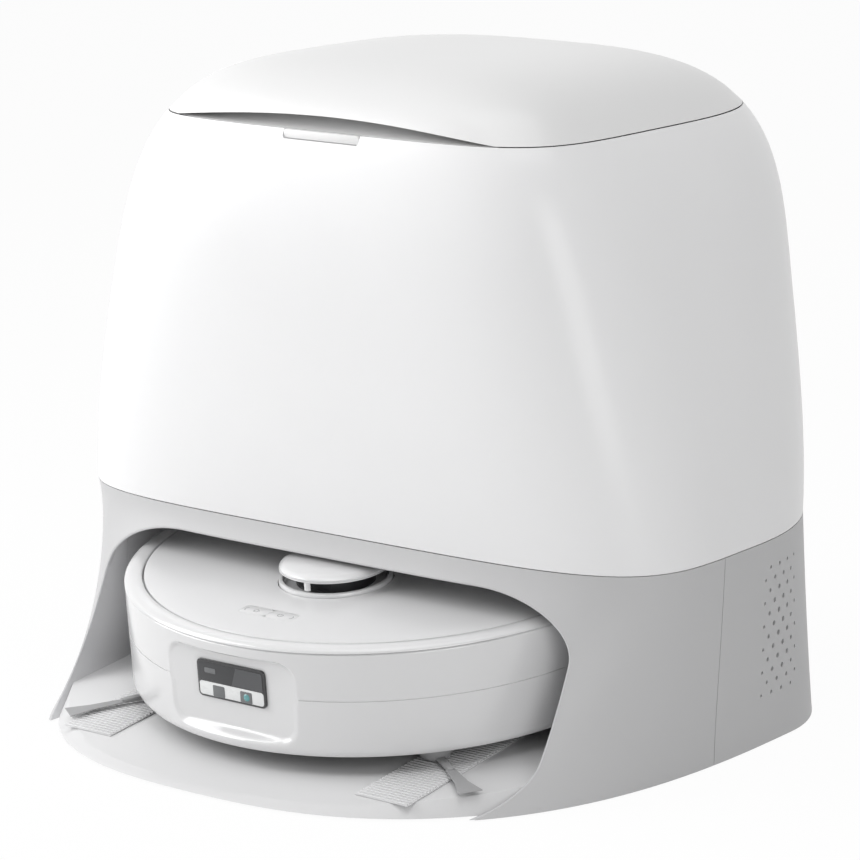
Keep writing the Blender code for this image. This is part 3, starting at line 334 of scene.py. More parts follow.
def domeAngle(z):
    return math.degrees(math.asin((z - dome["seamZ"]) / (dome["topZ"] - dome["seamZ"])))


def domeHeight(angle):
    return dome["seamZ"] + (dome["topZ"] - dome["seamZ"]) * math.sin(math.radians(angle))


def skirtSection(z):
    share = z / dome["seamZ"]
    seam = domeSection(0.0)
    return (skirt["footHalf"] + (seam[0] - skirt["footHalf"]) * share,
            seam[1] + (skirt["footFront"] - seam[1]) * (1.0 - share) ** skirt["flare"],
            skirt["footRear"] + (seam[2] - skirt["footRear"]) * share,
            skirt["footCentreY"] + (dome["centreY"] - skirt["footCentreY"]) * share,
            skirt["frontPower"] + (seam[4] - skirt["frontPower"]) * share ** 1.8,
            skirt["rearPower"] + (seam[5] - skirt["rearPower"]) * share)


def sectionOutline(section, inset=0.0, perQuarter=44):
    half, front, rear, centre, frontPower, rearPower = section
    points = []
    angles = np.linspace(0.0, math.pi / 2, 600)
    for quarter in range(4):
        behind = quarter < 2
        reach, power = (rear - centre, rearPower) if behind else (centre - front, frontPower)
        walk = angles if quarter % 2 == 0 else angles[::-1]
        xs = (half - inset) * np.abs(np.cos(walk)) ** (2.0 / power) * (1 if quarter in (0, 3) else -1)
        ys = (reach - inset) * np.abs(np.sin(walk)) ** (2.0 / power) * (1 if behind else -1)
        length = np.concatenate(([0.0], np.cumsum(np.hypot(np.diff(xs), np.diff(ys)))))
        stops = np.linspace(0.0, length[-1], perQuarter + 1)[:-1]
        points += list(zip(np.interp(stops, length, xs), centre + np.interp(stops, length, ys)))
    return points


def ringAt(section, z, inset=0.0, perQuarter=44):
    return [(x, y, z) for x, y in sectionOutline(section, inset, perQuarter)]


def skirtFrontY(x, z):
    half, front, rear, centre, power, rearPower = skirtSection(z)
    share = min(0.9999, abs(x) / half)
    return centre - (centre - front) * (1.0 - share ** power) ** (1.0 / power)


# finishes

class Wire:
    def __init__(self, recipe, socket):
        self.recipe = recipe
        self.socket = socket

    def maths(self, operation, first, second):
        return self.recipe.node("Math", {"operation": operation}, {0: first, 1: second})

    def __add__(self, other):
        return self.maths("ADD", self, other)

    def __radd__(self, other):
        return self.maths("ADD", other, self)

    def __sub__(self, other):
        return self.maths("SUBTRACT", self, other)

    def __rsub__(self, other):
        return self.maths("SUBTRACT", other, self)

    def __mul__(self, other):
        return self.maths("MULTIPLY", self, other)

    def __rmul__(self, other):
        return self.maths("MULTIPLY", other, self)

    def clamped(self):
        return self.maths("MINIMUM", self.maths("MAXIMUM", self, 0.0), 1.0)


class Recipe:
    def __init__(self, name):
        self.material = bpy.data.materials.new(name)
        self.material.use_nodes = True
        self.tree = self.material.node_tree
        self.tree.nodes.clear()

    def node(self, kind, settings, sockets, output=0):
        made = self.tree.nodes.new("ShaderNode" + kind)
        for key, value in settings.items():
            if key == "stops":
                for stop, (at, shade) in zip(made.color_ramp.elements, value):
                    stop.position = at
                    stop.color = (shade, shade, shade, 1.0)
            else:
                setattr(made, key, value)
        for key, value in sockets.items():
            if isinstance(value, Wire):
                self.tree.links.new(value.socket, made.inputs[key])
            else:
                made.inputs[key].default_value = value
        return Wire(self, made.outputs[output])

    def place(self, scale=(1.0, 1.0, 1.0), turn=(0.0, 0.0, 0.0)):
        spot = self.node("TexCoord", {}, {}, "Object")
        return self.node("Mapping", {}, {"Vector": spot, "Scale": scale, "Rotation": turn})

    def noise(self, place, scale, detail=2.0):
        return self.node("TexNoise", {}, {"Vector": place, "Scale": scale, "Detail": detail}, "Fac")

    def tint(self, mask, low, high):
        mix = self.tree.nodes.new("ShaderNodeMix")
        mix.data_type = "RGBA"
        for index, value in ((0, mask), (6, low), (7, high)):
            if isinstance(value, Wire):
                self.tree.links.new(value.socket, mix.inputs[index])
            else:
                mix.inputs[index].default_value = value
        return Wire(self, mix.outputs[2])

    def edges(self, radius):
        rounded = self.node("Bevel", {"samples": 4}, {"Radius": radius})
        true = self.node("NewGeometry", {}, {}, "Normal")
        along = self.node("VectorMath", {"operation": "DOT_PRODUCT"}, {0: rounded, 1: true}, "Value")
        return ((1.0 - along) * 6.0).clamped()

    def finished(self, sockets):
        surface = self.node("BsdfPrincipled", {}, sockets)
        output = self.tree.nodes.new("ShaderNodeOutputMaterial")
        self.tree.links.new(surface.socket, output.inputs["Surface"])
        return self.material


def rgba(colour, share=1.0):
    return tuple(min(1.0, c * share) for c in colour) + (1.0,)


def moulded(name, look):
    recipe = Recipe(name)
    place = recipe.place()
    cloud = recipe.noise(place, look.get("cloud", 9.0), 3.0)
    grain = recipe.noise(place, look["grain"], 2.0)
    scuff = recipe.noise(recipe.place(scale=(1.0, 14.0, 1.6), turn=(0.3, 0.5, 0.4)), 60.0, 4.0)
    edge = recipe.edges(look.get("edge", 0.0008))
    colour = recipe.tint(cloud, rgba(look["colour"], 0.975), rgba(look["colour"], 1.015))
    colour = recipe.tint(edge * look.get("wear", 0.35), colour, rgba(look.get("worn", look["colour"]), 1.04))
    rough = look["rough"] + (cloud - 0.5) * 0.06 + (scuff - 0.5) * look.get("scuff", 0.05) + edge * 0.10
    bump = recipe.node("Bump", {}, {"Height": grain, "Strength": look["bump"],
        "Distance": look.get("depth", 0.0002)})
    return recipe.finished({
        "Base Color": colour, "Roughness": rough, "Normal": bump,
        "Coat Weight": look.get("coat", 0.0), "Coat Roughness": look.get("coatRough", 0.08),
        "Specular IOR Level": look.get("gloss", 0.5)})


plastics = {
    "domeWhite": {"colour": (0.84, 0.84, 0.845), "rough": 0.34, "grain": 900.0, "bump": 0.05, "coat": 0.35,
    "coatRough": 0.25, "gloss": 0.35},
    "lidWhite": {"colour": (0.78, 0.78, 0.78), "rough": 0.38, "grain": 1500.0, "bump": 0.12, "coat": 0.15,
    "coatRough": 0.2},
    "skirtGrey": {"colour": (0.53, 0.53, 0.535), "rough": 0.46, "grain": 1700.0, "bump": 0.22},
    # throatPaintedLightGrey: the dock grey made lighter, painted light for the throat and liner, which sit in
    # shade
    "throatPaintedLightGrey": {"colour": (0.56, 0.56, 0.57), "rough": 0.46, "grain": 1700.0, "bump": 0.22},
    "rampGrey": {"colour": (0.66, 0.66, 0.665), "rough": 0.44, "grain": 1700.0, "bump": 0.22},
    "robotWhite": {"colour": (0.72, 0.72, 0.725), "rough": 0.22, "grain": 900.0, "bump": 0.04, "coat": 0.6,
    "coatRough": 0.07},
    "coverWhite": {"colour": (0.70, 0.70, 0.705), "rough": 0.32, "grain": 1300.0, "bump": 0.10,
    "coat": 0.25, "coatRough": 0.15},
    "innerGrey": {"colour": (0.36, 0.37, 0.38), "rough": 0.52, "grain": 1300.0, "bump": 0.30},
    "blackPlastic": {"colour": (0.016, 0.016, 0.018), "worn": (0.06, 0.06, 0.06), "rough": 0.42,
    "grain": 1500.0, "bump": 0.30},
    "blackGlass": {"colour": (0.012, 0.012, 0.014), "rough": 0.10, "grain": 300.0, "bump": 0.01,
    "coat": 0.8, "coatRough": 0.03},
    "windowGlass": {"colour": (0.030, 0.031, 0.034), "rough": 0.16, "grain": 300.0, "bump": 0.01,
    "coat": 0.2, "coatRough": 0.03},
    # windowPaintedReflection: a lighter copy of the window glass colour, a painted reflection on the upper
    # glass
    "windowPaintedReflection": {"colour": (0.075, 0.077, 0.082), "rough": 0.16, "grain": 300.0, "bump": 0.01,
    "coat": 0.2, "coatRough": 0.03},
    "sensorGrey": {"colour": (0.16, 0.165, 0.17), "rough": 0.30, "grain": 900.0, "bump": 0.05},
    "panelWhite": {"colour": (0.78, 0.79, 0.79), "rough": 0.28, "grain": 900.0, "bump": 0.04, "coat": 0.3},
    "lensTeal": {"colour": (0.10, 0.33, 0.34), "rough": 0.12, "grain": 500.0, "bump": 0.02, "coat": 0.9,
    "coatRough": 0.03},
    # scoopPaintedShadeGrey: darker than the lid white, painted shade for the scoop, which sits in shadow in
    # the lens gap
    "scoopPaintedShadeGrey": {"colour": (0.66, 0.66, 0.66), "rough": 0.40, "grain": 1500.0, "bump": 0.12},
    "tabWhite": {"colour": (0.80, 0.80, 0.80), "rough": 0.35, "grain": 1500.0, "bump": 0.10},
    "trackGrey": {"colour": (0.70, 0.70, 0.705), "rough": 0.50, "grain": 1700.0, "bump": 0.25},
    "iconGrey": {"colour": (0.16, 0.16, 0.17), "rough": 0.5, "grain": 900.0, "bump": 0.05},
    "rubberBlack": {"colour": (0.028, 0.028, 0.028), "worn": (0.08, 0.08, 0.08), "rough": 0.72,
    "grain": 700.0, "bump": 0.45},
    "brushGrey": {"colour": (0.34, 0.34, 0.345), "rough": 0.45, "grain": 600.0, "bump": 0.2},
    "boardGreen": {"colour": (0.02, 0.14, 0.06), "rough": 0.40, "grain": 260.0, "bump": 0.6, "coat": 0.4},
}
finishes = {name: moulded(name, look) for name, look in plastics.items()}


def metal(name, colour, rough, stretch):
    recipe = Recipe(name)
    lines = recipe.noise(recipe.place(scale=stretch), 240.0, 3.0)
    cloud = recipe.noise(recipe.place(), 30.0, 2.0)
    bump = recipe.node("Bump", {}, {"Height": lines, "Strength": 0.15, "Distance": 0.0001})
    return recipe.finished({
        "Base Color": recipe.tint(cloud, rgba(colour, 0.93), rgba(colour, 1.05)), "Metallic": 1.0,
        "Roughness": rough + (lines - 0.5) * 0.18, "Normal": bump})


def clearPlastic(name, colour, rough):
    recipe = Recipe(name)
    cloud = recipe.noise(recipe.place(), 25.0, 3.0)
    grain = recipe.noise(recipe.place(), 700.0, 2.0)
    bump = recipe.node("Bump", {}, {"Height": grain, "Strength": 0.05, "Distance": 0.0001})
    return recipe.finished({
        "Base Color": recipe.tint(cloud, rgba(colour, 0.95), rgba(colour, 1.03)), "Transmission Weight": 0.85,
        "IOR": 1.46, "Roughness": rough + (cloud - 0.5) * 0.06, "Normal": bump})


def fibrous(name, colour, scale, depth, sheen):
    recipe = Recipe(name)
    place = recipe.place()
    pile = recipe.node("TexVoronoi", {}, {"Vector": place, "Scale": scale}, "Distance")
    patch = recipe.noise(place, 35.0, 4.0)
    bump = recipe.node("Bump", {}, {"Height": pile, "Strength": 0.8, "Distance": depth})
    return recipe.finished({
        "Base Color": recipe.tint(pile * 0.5 + patch * 0.5, rgba(colour, 0.72), rgba(colour, 1.15)),
        "Roughness": 0.88 + (patch - 0.5) * 0.1, "Normal": bump, "Sheen Weight": sheen})


finishes["rodSteel"] = metal("rodSteel", (0.62, 0.62, 0.60), 0.28, (1.0, 12.0, 12.0))
finishes["contactMetal"] = metal("contactMetal", (0.70, 0.58, 0.38), 0.26, (14.0, 1.0, 1.0))
finishes["tankClear"] = clearPlastic("tankClear", (0.72, 0.80, 0.86), 0.12)
finishes["tankSmoke"] = clearPlastic("tankSmoke", (0.22, 0.23, 0.25), 0.16)
finishes["mopPile"] = fibrous("mopPile", (0.50, 0.51, 0.53), 900.0, 0.0012, 0.5)
finishes["filterPaper"] = fibrous("filterPaper", (0.60, 0.56, 0.48), 420.0, 0.0003, 0.2)
print("finishes:", len(finishes))

slotFinish = {
    "gloss_white": "domeWhite", "satin_white": "lidWhite", "dock_grey": "skirtGrey", "tray_white": "rampGrey",
    "robot_white": "robotWhite", "inner_grey": "innerGrey", "black_plastic": "blackPlastic",
    "black_glass": "blackGlass", "tank_clear": "tankClear", "tank_smoke": "tankSmoke",
    "rubber": "rubberBlack",
    "brush_grey": "brushGrey", "steel": "rodSteel", "contact_metal": "contactMetal",
    "board_green": "boardGreen",
    "paper_bag": "filterPaper", "mop_cloth": "mopPile",
}
for subpart in frame["record"]["subparts"]:
    node = frame["nodes"][subpart["node"]]
    node.data.materials.clear()
    node.data.materials.append(finishes[slotFinish[subpart["material_slot"]]])
# the garage liner gets the lighter throat grey, painted light on a shaded wall
frame["nodes"]["garage_liner"].data.materials[0] = finishes["throatPaintedLightGrey"]


# dome and lid

def makeDome():
    low, high = 0.0, domeAngle(dome["lidZ"] - dome["seamGap"] / 2)
    rings = []
    for step in range(33):
        angle = low + (high - low) * step / 32
        rings.append(ringAt(domeSection(angle),
            domeHeight(angle) + (dome["seamGap"] / 2 if step == 0 else 0.0)))
    shell = raiseRings("dome_shell", rings)
    addModifier(shell, "SOLIDIFY", thickness=dome["wall"], offset=-1.0)
    cut(shell, block("hingeNotch", (-0.0753, 0.1985, 0.3940), (0.0753, 0.2400, 0.4200)))
    cut(shell, drawnUp("tabNotch", roundedOutline(0.0303, dome["lidZ"] - 0.0063, dome["lidZ"] + 0.01,
        0.0020), -0.30, -0.05, "Y"))
    present(shell, 40, dockPlace, "dock", "domeWhite", ("upper_shell",))


def makeLid():
    start = domeAngle(dome["lidZ"] + dome["seamGap"] / 2)
    rings = []
    for step in range(26):
        angle = start + (89.97 - start) * (step / 25) ** 0.62
        rings.append(ringAt(domeSection(angle), domeHeight(angle)))
    lid = raiseRings("lid_shell", rings, closeTop=True)
    addModifier(lid, "SOLIDIFY", thickness=dome["wall"], offset=-1.0)
    editing(lid)
    selectMesh()
    level = dome["lidZ"] + dome["seamGap"] / 2
    bpy.ops.mesh.bisect(plane_co=(0.0, 0.0, level), plane_no=(0.0, 0.0, 1.0), clear_inner=True, use_fill=True)
    doneEditing()
    outline = [(-0.126, level - 0.01), (0.126, level - 0.01)]
    for step in range(41):
        x = 0.126 * (1.0 - step / 20.0)
        outline.append((x, level + 0.0085 * (1.0 - (x / 0.126) ** 2) + 0.00005))
    cut(lid, drawnUp("fingerRecess", outline, -0.30, -0.03, "Y"))
    knuckles = [lid]
    for side in (-1, 1):
        clearSelection()
        bpy.ops.mesh.primitive_cylinder_add(vertices=32, radius=0.0040, depth=0.0140,
                                            location=(side * 0.056, 0.2050, 0.3990),
                                            rotation=(0, math.pi / 2, 0))
        knuckle = named("knuckle")
        applyPlace()
        clearSelection()
        cut(knuckle, boredPin(side))
        roundEdges(knuckle, 0.0004)
        knuckles.append(knuckle)
    lid = join(knuckles, "lid_shell")
    present(lid, 40, dockPlace, "lid", "lidWhite", ("lid",))


def boredPin(side):
    bpy.ops.mesh.primitive_cylinder_add(vertices=32, radius=0.0023, depth=0.05,
                                        location=(side * 0.056, 0.2050, 0.3990), rotation=(0, math.pi / 2, 0))
    pin = named("bore")
    applyPlace()
    return pin


def makeScoop():
    section = domeSection(domeAngle(dome["lidZ"]))
    inner, lidZ = dome["wall"] + 0.0003, dome["lidZ"]
    rings = []
    for step in range(61):
        x = -0.126 + 0.252 * step / 60
        ring = []
        for inset, z in ((inner, lidZ - 0.006), (inner, lidZ - 0.0002), (inner + 0.006, lidZ + 0.0012),
                         (inner + 0.012, lidZ + 0.0044), (0.0200, lidZ + 0.0085), (0.0212, lidZ + 0.0070),
                         (inner + 0.0022, lidZ - 0.0015), (inner + 0.0022, lidZ - 0.006)):
            reach = section[3] - section[1] - inset
            share = abs(x) / (section[0] - inset)
            ring.append((x, section[3] - reach * (1.0 - share ** section[4]) ** (1.0 / section[4]), z))
        rings.append(ring)
    scoop = raiseRings("finger_scoop_floor", rings)
    editing(scoop)
    selectMesh()
    bpy.ops.mesh.fill_holes(sides=0)
    doneEditing()
    tidyNormals(scoop)
    # the scoop's grey finish is painted shade
    present(scoop, 35, dockPlace, "dock", "scoopPaintedShadeGrey", ("finger_scoop",))


def makeTab():
    face = domeSection(domeAngle(dome["lidZ"] - 0.003))[1]
    tab = drawnUp("status_light_bar", roundedOutline(0.0300, dome["lidZ"] - 0.0060, dome["lidZ"] - 0.0003,
        0.0018),
                  face + 0.0002, face + 0.0035, "Y")
    roundEdges(tab, 0.0004)
    present(tab, 35, dockPlace, "dock", "tabWhite", ("status_light",))


# lower shell, its mouth and the vents

mouth = {"half": 0.1897, "topZ": 0.1230, "cornerX": 0.070, "cornerZ": 0.040, "lowRadius": 0.030,
         "linerHalf": 0.1872, "linerTop": 0.1500, "linerCorner": 0.0375, "linerY": -0.0952}
vents = {"y": 0.0590, "z": 0.0780, "rows": 12, "columns": 8, "pitch": 0.0062, "largest": 0.00185,
    "smallest": 0.00075}


def mouthOutline(grow=0.0, share=0.0, perCorner=24, perSide=14):
    half = mouth["half"] + (mouth["linerHalf"] - mouth["half"]) * share + grow
    top = mouth["topZ"] + (mouth["linerTop"] - mouth["topZ"]) * share + grow
    cornerX = mouth["cornerX"] + (mouth["linerCorner"] - mouth["cornerX"]) * share + grow
    cornerZ = mouth["cornerZ"] + (mouth["linerCorner"] - mouth["cornerZ"]) * share + grow
    low = mouth["lowRadius"] + grow
    points = []
    base = -0.0010 - grow
    for start, cx, cz, rx, rz in ((0, half - cornerX, top - cornerZ, cornerX, cornerZ),
                                  (90, cornerX - half, top - cornerZ, cornerX, cornerZ),
                                  (180, low - half, low + base, low, low),
                                  (270, half - low, low + base, low, low)):
        corner = []
        for step in range(perCorner + 1):
            angle = math.radians(start + 90.0 * step / perCorner)
            corner.append((cx + rx * math.cos(angle), cz + rz * math.sin(angle)))
        if points:
            points += [tuple(a + (b - a) * k / perSide for a,
            b in zip(points[-1], corner[0])) for k in range(1, perSide)]
        points += corner
    points += [tuple(a + (b - a) * k / perSide for a, b in zip(points[-1], points[0])) for k in range(1,
        perSide)]
    return points


def makeSkirt():
    rings = []
    for step in range(27):
        z = 0.0010 + (dome["seamZ"] - dome["seamGap"] / 2 - 0.0010) * (step / 26) ** 1.15
        rings.append(ringAt(skirtSection(z), z, perQuarter=56))
    front = raiseRings("skirt_front", rings)
    addModifier(front, "SOLIDIFY", thickness=dome["wall"], offset=-1.0)
    rear = copyOf(front, Matrix.Identity(4))
    rear.name = "skirt_rear"
    for piece, y, keepFront in ((front, skirt["splitY"], True), (rear, skirt["splitY"] + 0.0006, False)):
        editing(piece)
        selectMesh()
        bpy.ops.mesh.bisect(plane_co=(0.0, y, 0.0), plane_no=(0.0, 1.0, 0.0), clear_outer=keepFront,
                            clear_inner=not keepFront, use_fill=True)
        selectMesh()
        bpy.ops.mesh.bisect(plane_co=(0.0, 0.0, 0.0010), plane_no=(0.0, 0.0, 1.0), clear_inner=True,
            use_fill=True)
        doneEditing()
    cut(front, drawnUp("mouthCutter", mouthOutline(grow=0.0014), -0.40, 0.02, "Y"))
    for side in (-1, 1):
        cut(rear, ventCutter(side))
    cut(rear, block("inletHole", (0.0746, 0.10, 0.0496), (0.1054, 0.30, 0.0724)))
    for piece, node in ((front, "lower_shell"), (rear, "rear_cover")):
        present(piece, 35, dockPlace, "dock", "skirtGrey", (node,))


def ventCutter(side):
    clearSelection()
    bpy.ops.mesh.primitive_cylinder_add(vertices=14, radius=1.0, depth=0.05, rotation=(0, math.pi / 2, 0))
    pattern = named("ventPin")
    applyPlace()
    pins = []
    for row in range(vents["rows"]):
        for column in range(vents["columns"] // 2):
            across = column - vents["columns"] / 4 + 0.25 + 0.5 * (row % 2)
            down = row - (vents["rows"] - 1) / 2
            middle = max(0.0, 1.0 - (abs(across) / 2.4) ** 2) * max(0.3, 1.0 - (abs(down) / 8.5) ** 2)
            radius = vents["smallest"] + (vents["largest"] - vents["smallest"]) * middle
            place = Matrix.Translation((side * dome["half"], vents["y"] + across * vents["pitch"] * 2,
                                        vents["z"] + down * vents["pitch"] * 1.25)) @ Matrix.Diagonal((1,
                                        radius, radius, 1))
            pins.append(copyOf(pattern, place))
    bpy.data.objects.remove(pattern)
    return join(pins, "ventPins")


def makeThroat():
    rings = []
    for grow, behind in ((0.00135, 0.0030), (0.00135, 0.00012), (0.0010, 0.00016), (0.0006, 0.00036),
        (0.00025, 0.0007),
                         (0.00005, 0.0012), (0.0, 0.0020)):
        ring = []
        for x, z in mouthOutline(grow):
            ring.append((x, skirtFrontY(x, max(0.0012, z)) + behind, z))
        rings.append(ring)
    lip = rings[-1]
    for share in (0.06, 0.14, 0.24, 0.36, 0.50, 0.64, 0.78, 0.90, 1.0):
        ring = []
        for (x, y, z), (deepX, deepZ) in zip(lip, mouthOutline(0.0, 1.0)):
            bend = share * share * (3.0 - 2.0 * share)
            ring.append((x + (deepX - x) * bend, y + (mouth["linerY"] - y) * share, z + (deepZ - z) * bend))
        rings.append(ring)
    throat = raiseRings("mouth_lip", rings)
    sliced(throat, plane_co=(0.0, 0.0, 0.0012), plane_no=(0.0, 0.0, 1.0), clear_inner=True)
    present(throat, 50, dockPlace, "dock", "throatPaintedLightGrey")


# tray and tracks

tray = {"slope": math.radians(6.0), "floorGap": 0.0015, "toeHeight": 0.0200, "rampAt": 0.02714,
    "trackInner": 0.1000,
        "trackOuter": 0.1400, "trackFront": -0.2150, "trackRear": -0.0900, "ribs": 38}


def rampZ(y):
    return tray["rampAt"] + math.tan(tray["slope"]) * (y + 0.0408)


def traySection(z):
    half, front, rear, centre, power, rearPower = skirtSection(z)
    inset = dome["wall"] + 0.0006
    low = max(0.0, 1.0 - z / tray["toeHeight"])
    return half - inset, front + inset * (1.0 - low), rear - inset, centre, power - 0.14 * low, rearPower


def makeTray():
    rings = [ringAt(traySection(z), z, perQuarter=56)
             for z in (tray["floorGap"], 0.0035, 0.0055, 0.0080, 0.0110, 0.0150, 0.0220, 0.0350, 0.0500,
             0.0700)]
    base = raiseRings("tray_ramp", rings, closeBottom=True)
    sliced(base, plane_co=(0.0, -0.0408, tray["rampAt"]), clear_outer=True, use_fill=True,
                        plane_no=(0.0, -math.sin(tray["slope"]), math.cos(tray["slope"])))
    roundEdges(base, 0.0012, 3, 50)
    present(base, 40, dockPlace, "dock", "rampGrey", ("base_tray",))


def makeTracks():
    tilt = Matrix.Rotation(tray["slope"], 4, "X")
    length = (tray["trackRear"] - tray["trackFront"]) / math.cos(tray["slope"])
    pitch = length / tray["ribs"]
    for side, word in ((-1, "left"), (1, "right")):
        low, high = sorted((side * tray["trackInner"], side * tray["trackOuter"]))
        plate = block("plate", (low, 0.0, 0.0003), (high, length, 0.0009))
        pieces = [plate]
        rib = block("rib", (low + 0.0006, pitch * 0.12, 0.0007), (high - 0.0006, pitch * 0.66, 0.0017))
        roundEdges(rib, 0.0004, 2)
        for step in range(tray["ribs"]):
            pieces.append(copyOf(rib, Matrix.Translation((0.0, pitch * step, 0.0))))
        bpy.data.objects.remove(rib)
        strip = join(pieces, "track_ribs_" + word)
        present(strip, 35, dockPlace @ Matrix.Translation((0.0, tray["trackFront"],
            rampZ(tray["trackFront"]))) @ tilt, "dock", "trackGrey", ("track_strip_" + word,))


# things seen with the lid open, and behind

def makeBag():
    low, high = (Vector(corner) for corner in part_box("dust_bag"))
    bag = block("paper_bag", low + Vector((0.004, 0.004, 0.001)), high - Vector((0.004, 0.004, 0.004)))
    editing(bag)
    selectMesh()
    bpy.ops.mesh.subdivide(number_cuts=24)
    doneEditing()
    middle, reach = (low + high) / 2, (high - low) / 2
    for vert in bag.data.vertices:
        x, y, z = ((vert.co[k] - middle[k]) / reach[k] for k in range(3))
        crown = 0.0032 * (1 - x * x) * (1 - z * z)
        fold = 0.0011 * math.sin(5.0 * x + 7.0 * z) + 0.0007 * math.sin(17.0 * z - 9.0 * x + 3.0 * y)
        pull = 1.0 - 0.035 * abs(x) ** 3 * abs(y) ** 3
        vert.co.x = middle.x + (vert.co.x - middle.x) * pull
        vert.co.y += math.copysign(crown + fold, y) * abs(y) ** 4
        vert.co.z -= 0.004 * (abs(x) ** 6 + abs(y) ** 6) * max(0.0, z) ** 5
    bpy.ops.object.select_all(action="DESELECT")
    roundEdges(bag, 0.0030, 2, 50)
    smooth(bag, 60)
    handOver(bag, "dock", "filterPaper", ("dust_bag",))


def makeInlet():
    low, high = (Vector(corner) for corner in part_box("power_inlet"))
    housing = block("inlet_housing", low, high)
    hollow = block("hollow", low + Vector((0.004, 0.025, 0.004)), high + Vector((-0.004, 0.05, -0.004)))
    roundEdges(hollow, 0.0030, 3)
    cut(housing, hollow)
    roundEdges(housing, 0.0007, 2, 50)
    parts = [housing]
    for x in (-0.0055, 0.0, 0.0055):
        middle = (low + high) / 2
        blade = block("blade", (middle.x + x - 0.0006, high.y - 0.020, middle.z - 0.0025),
                      (middle.x + x + 0.0006, high.y - 0.0040, middle.z + 0.0025))
        roundEdges(blade, 0.0003, 1)
        parts.append(blade)
    inlet = join(parts, "power_inlet_socket")
    smooth(inlet, 35)
    handOver(inlet, "dock", "blackPlastic", ("power_inlet",))


makeDome()
makeLid()
makeScoop()
makeTab()
makeSkirt()
makeThroat()
makeTray()
makeTracks()
makeBag()
makeInlet()
print("dock pieces ready")


# robot: bumper with its window

robot = {"radius": 0.1747, "height": 0.0700, "bumperEnd": -0.0120, "travel": 0.0030, "seam": 0.0385,
         "pocketHalf": 0.0530, "pocketLow": 0.0060, "pocketHigh": 0.0630, "pocketRadius": 0.0150,
         "pocketDepth": 0.0080,
         "topRadius": 0.1617}
window = {"half": 0.0275, "low": 0.0280, "high": 0.0535, "split": 0.0390, "rim": 0.0016, "proud": 0.0016}


def easeStep(value):
    value = max(0.0, min(1.0, value))
    return value * value * (3.0 - 2.0 * value)


def pocketShare(along, height):
    middle = (robot["pocketLow"] + robot["pocketHigh"]) / 2
    tall = (robot["pocketHigh"] - robot["pocketLow"]) / 2
    corner = robot["pocketRadius"]
    dx = abs(along) - (robot["pocketHalf"] - corner)
    dz = abs(height - middle) - (tall - corner)
    outside = math.hypot(max(dx, 0.0), max(dz, 0.0)) + min(max(dx, dz), 0.0) - corner
    soft = 0.0030 if height > middle else 0.0055
    return easeStep(-outside / soft)


def skinPoint(turn, height, inner=0.0):
    radius = robot["radius"] - inner
    if height < 0.0050:
        radius -= 0.0022 * (1.0 - height / 0.0050) ** 2
    if height > 0.0683:
        radius -= 0.0010 * ((height - 0.0683) / 0.0012) ** 2
    x, y = radius * math.cos(turn), radius * math.sin(turn)
    share = pocketShare(x, height) if y < 0 else 0.0
    flat = -robot["radius"] + robot["pocketDepth"] + inner
    sunk = y + (max(y, flat) - y) * share
    groove = abs(height - robot["seam"])
    if groove < 0.0004 and share < 0.02:
        x *= 1.0 - 0.0006 / radius
        sunk *= 1.0 - 0.0006 / radius
    return x, sunk, height


def makeBumper():
    end = math.asin(robot["bumperEnd"] / robot["radius"])
    turns, turn = [], end
    while turn > -math.pi - end:
        turns.append(turn)
        near = abs(robot["radius"] * (turn + math.pi / 2)) < 0.066
        turn -= (0.0009 if near else 0.0032) / robot["radius"]
    turns.append(-math.pi - end)
    heights = [0.0008 + 0.0672 * step / 72 for step in range(73)] + [0.0685, 0.0690, 0.0693, 0.0695]
    heights += [robot["seam"] + offset for offset in (-0.00045, -0.00035, 0.0, 0.00035, 0.00045)]
    heights = sorted(height for height in heights if not 0.0001 < abs(height - robot["seam"]) < 0.0003)
    clearSelection()
    bpy.ops.mesh.primitive_grid_add(x_subdivisions=len(turns) - 1, y_subdivisions=len(heights) - 1, size=1.0)
    skin = named("bumper_skin")
    spots = sorted(range(len(skin.data.vertices)), key=lambda k: (round(skin.data.vertices[k].co.y, 6),
                                                                  skin.data.vertices[k].co.x))
    for order, index in enumerate(spots):
        row, column = divmod(order, len(turns))
        skin.data.vertices[index].co = skinPoint(turns[column], heights[row])
    tidyNormals(skin)
    addModifier(skin, "SOLIDIFY", thickness=0.0030, offset=-1.0)
    present(skin, 40, robotPlace, "bumper", "robotWhite",
        ("bumper_upper", "bumper_lower", "window_housing"))


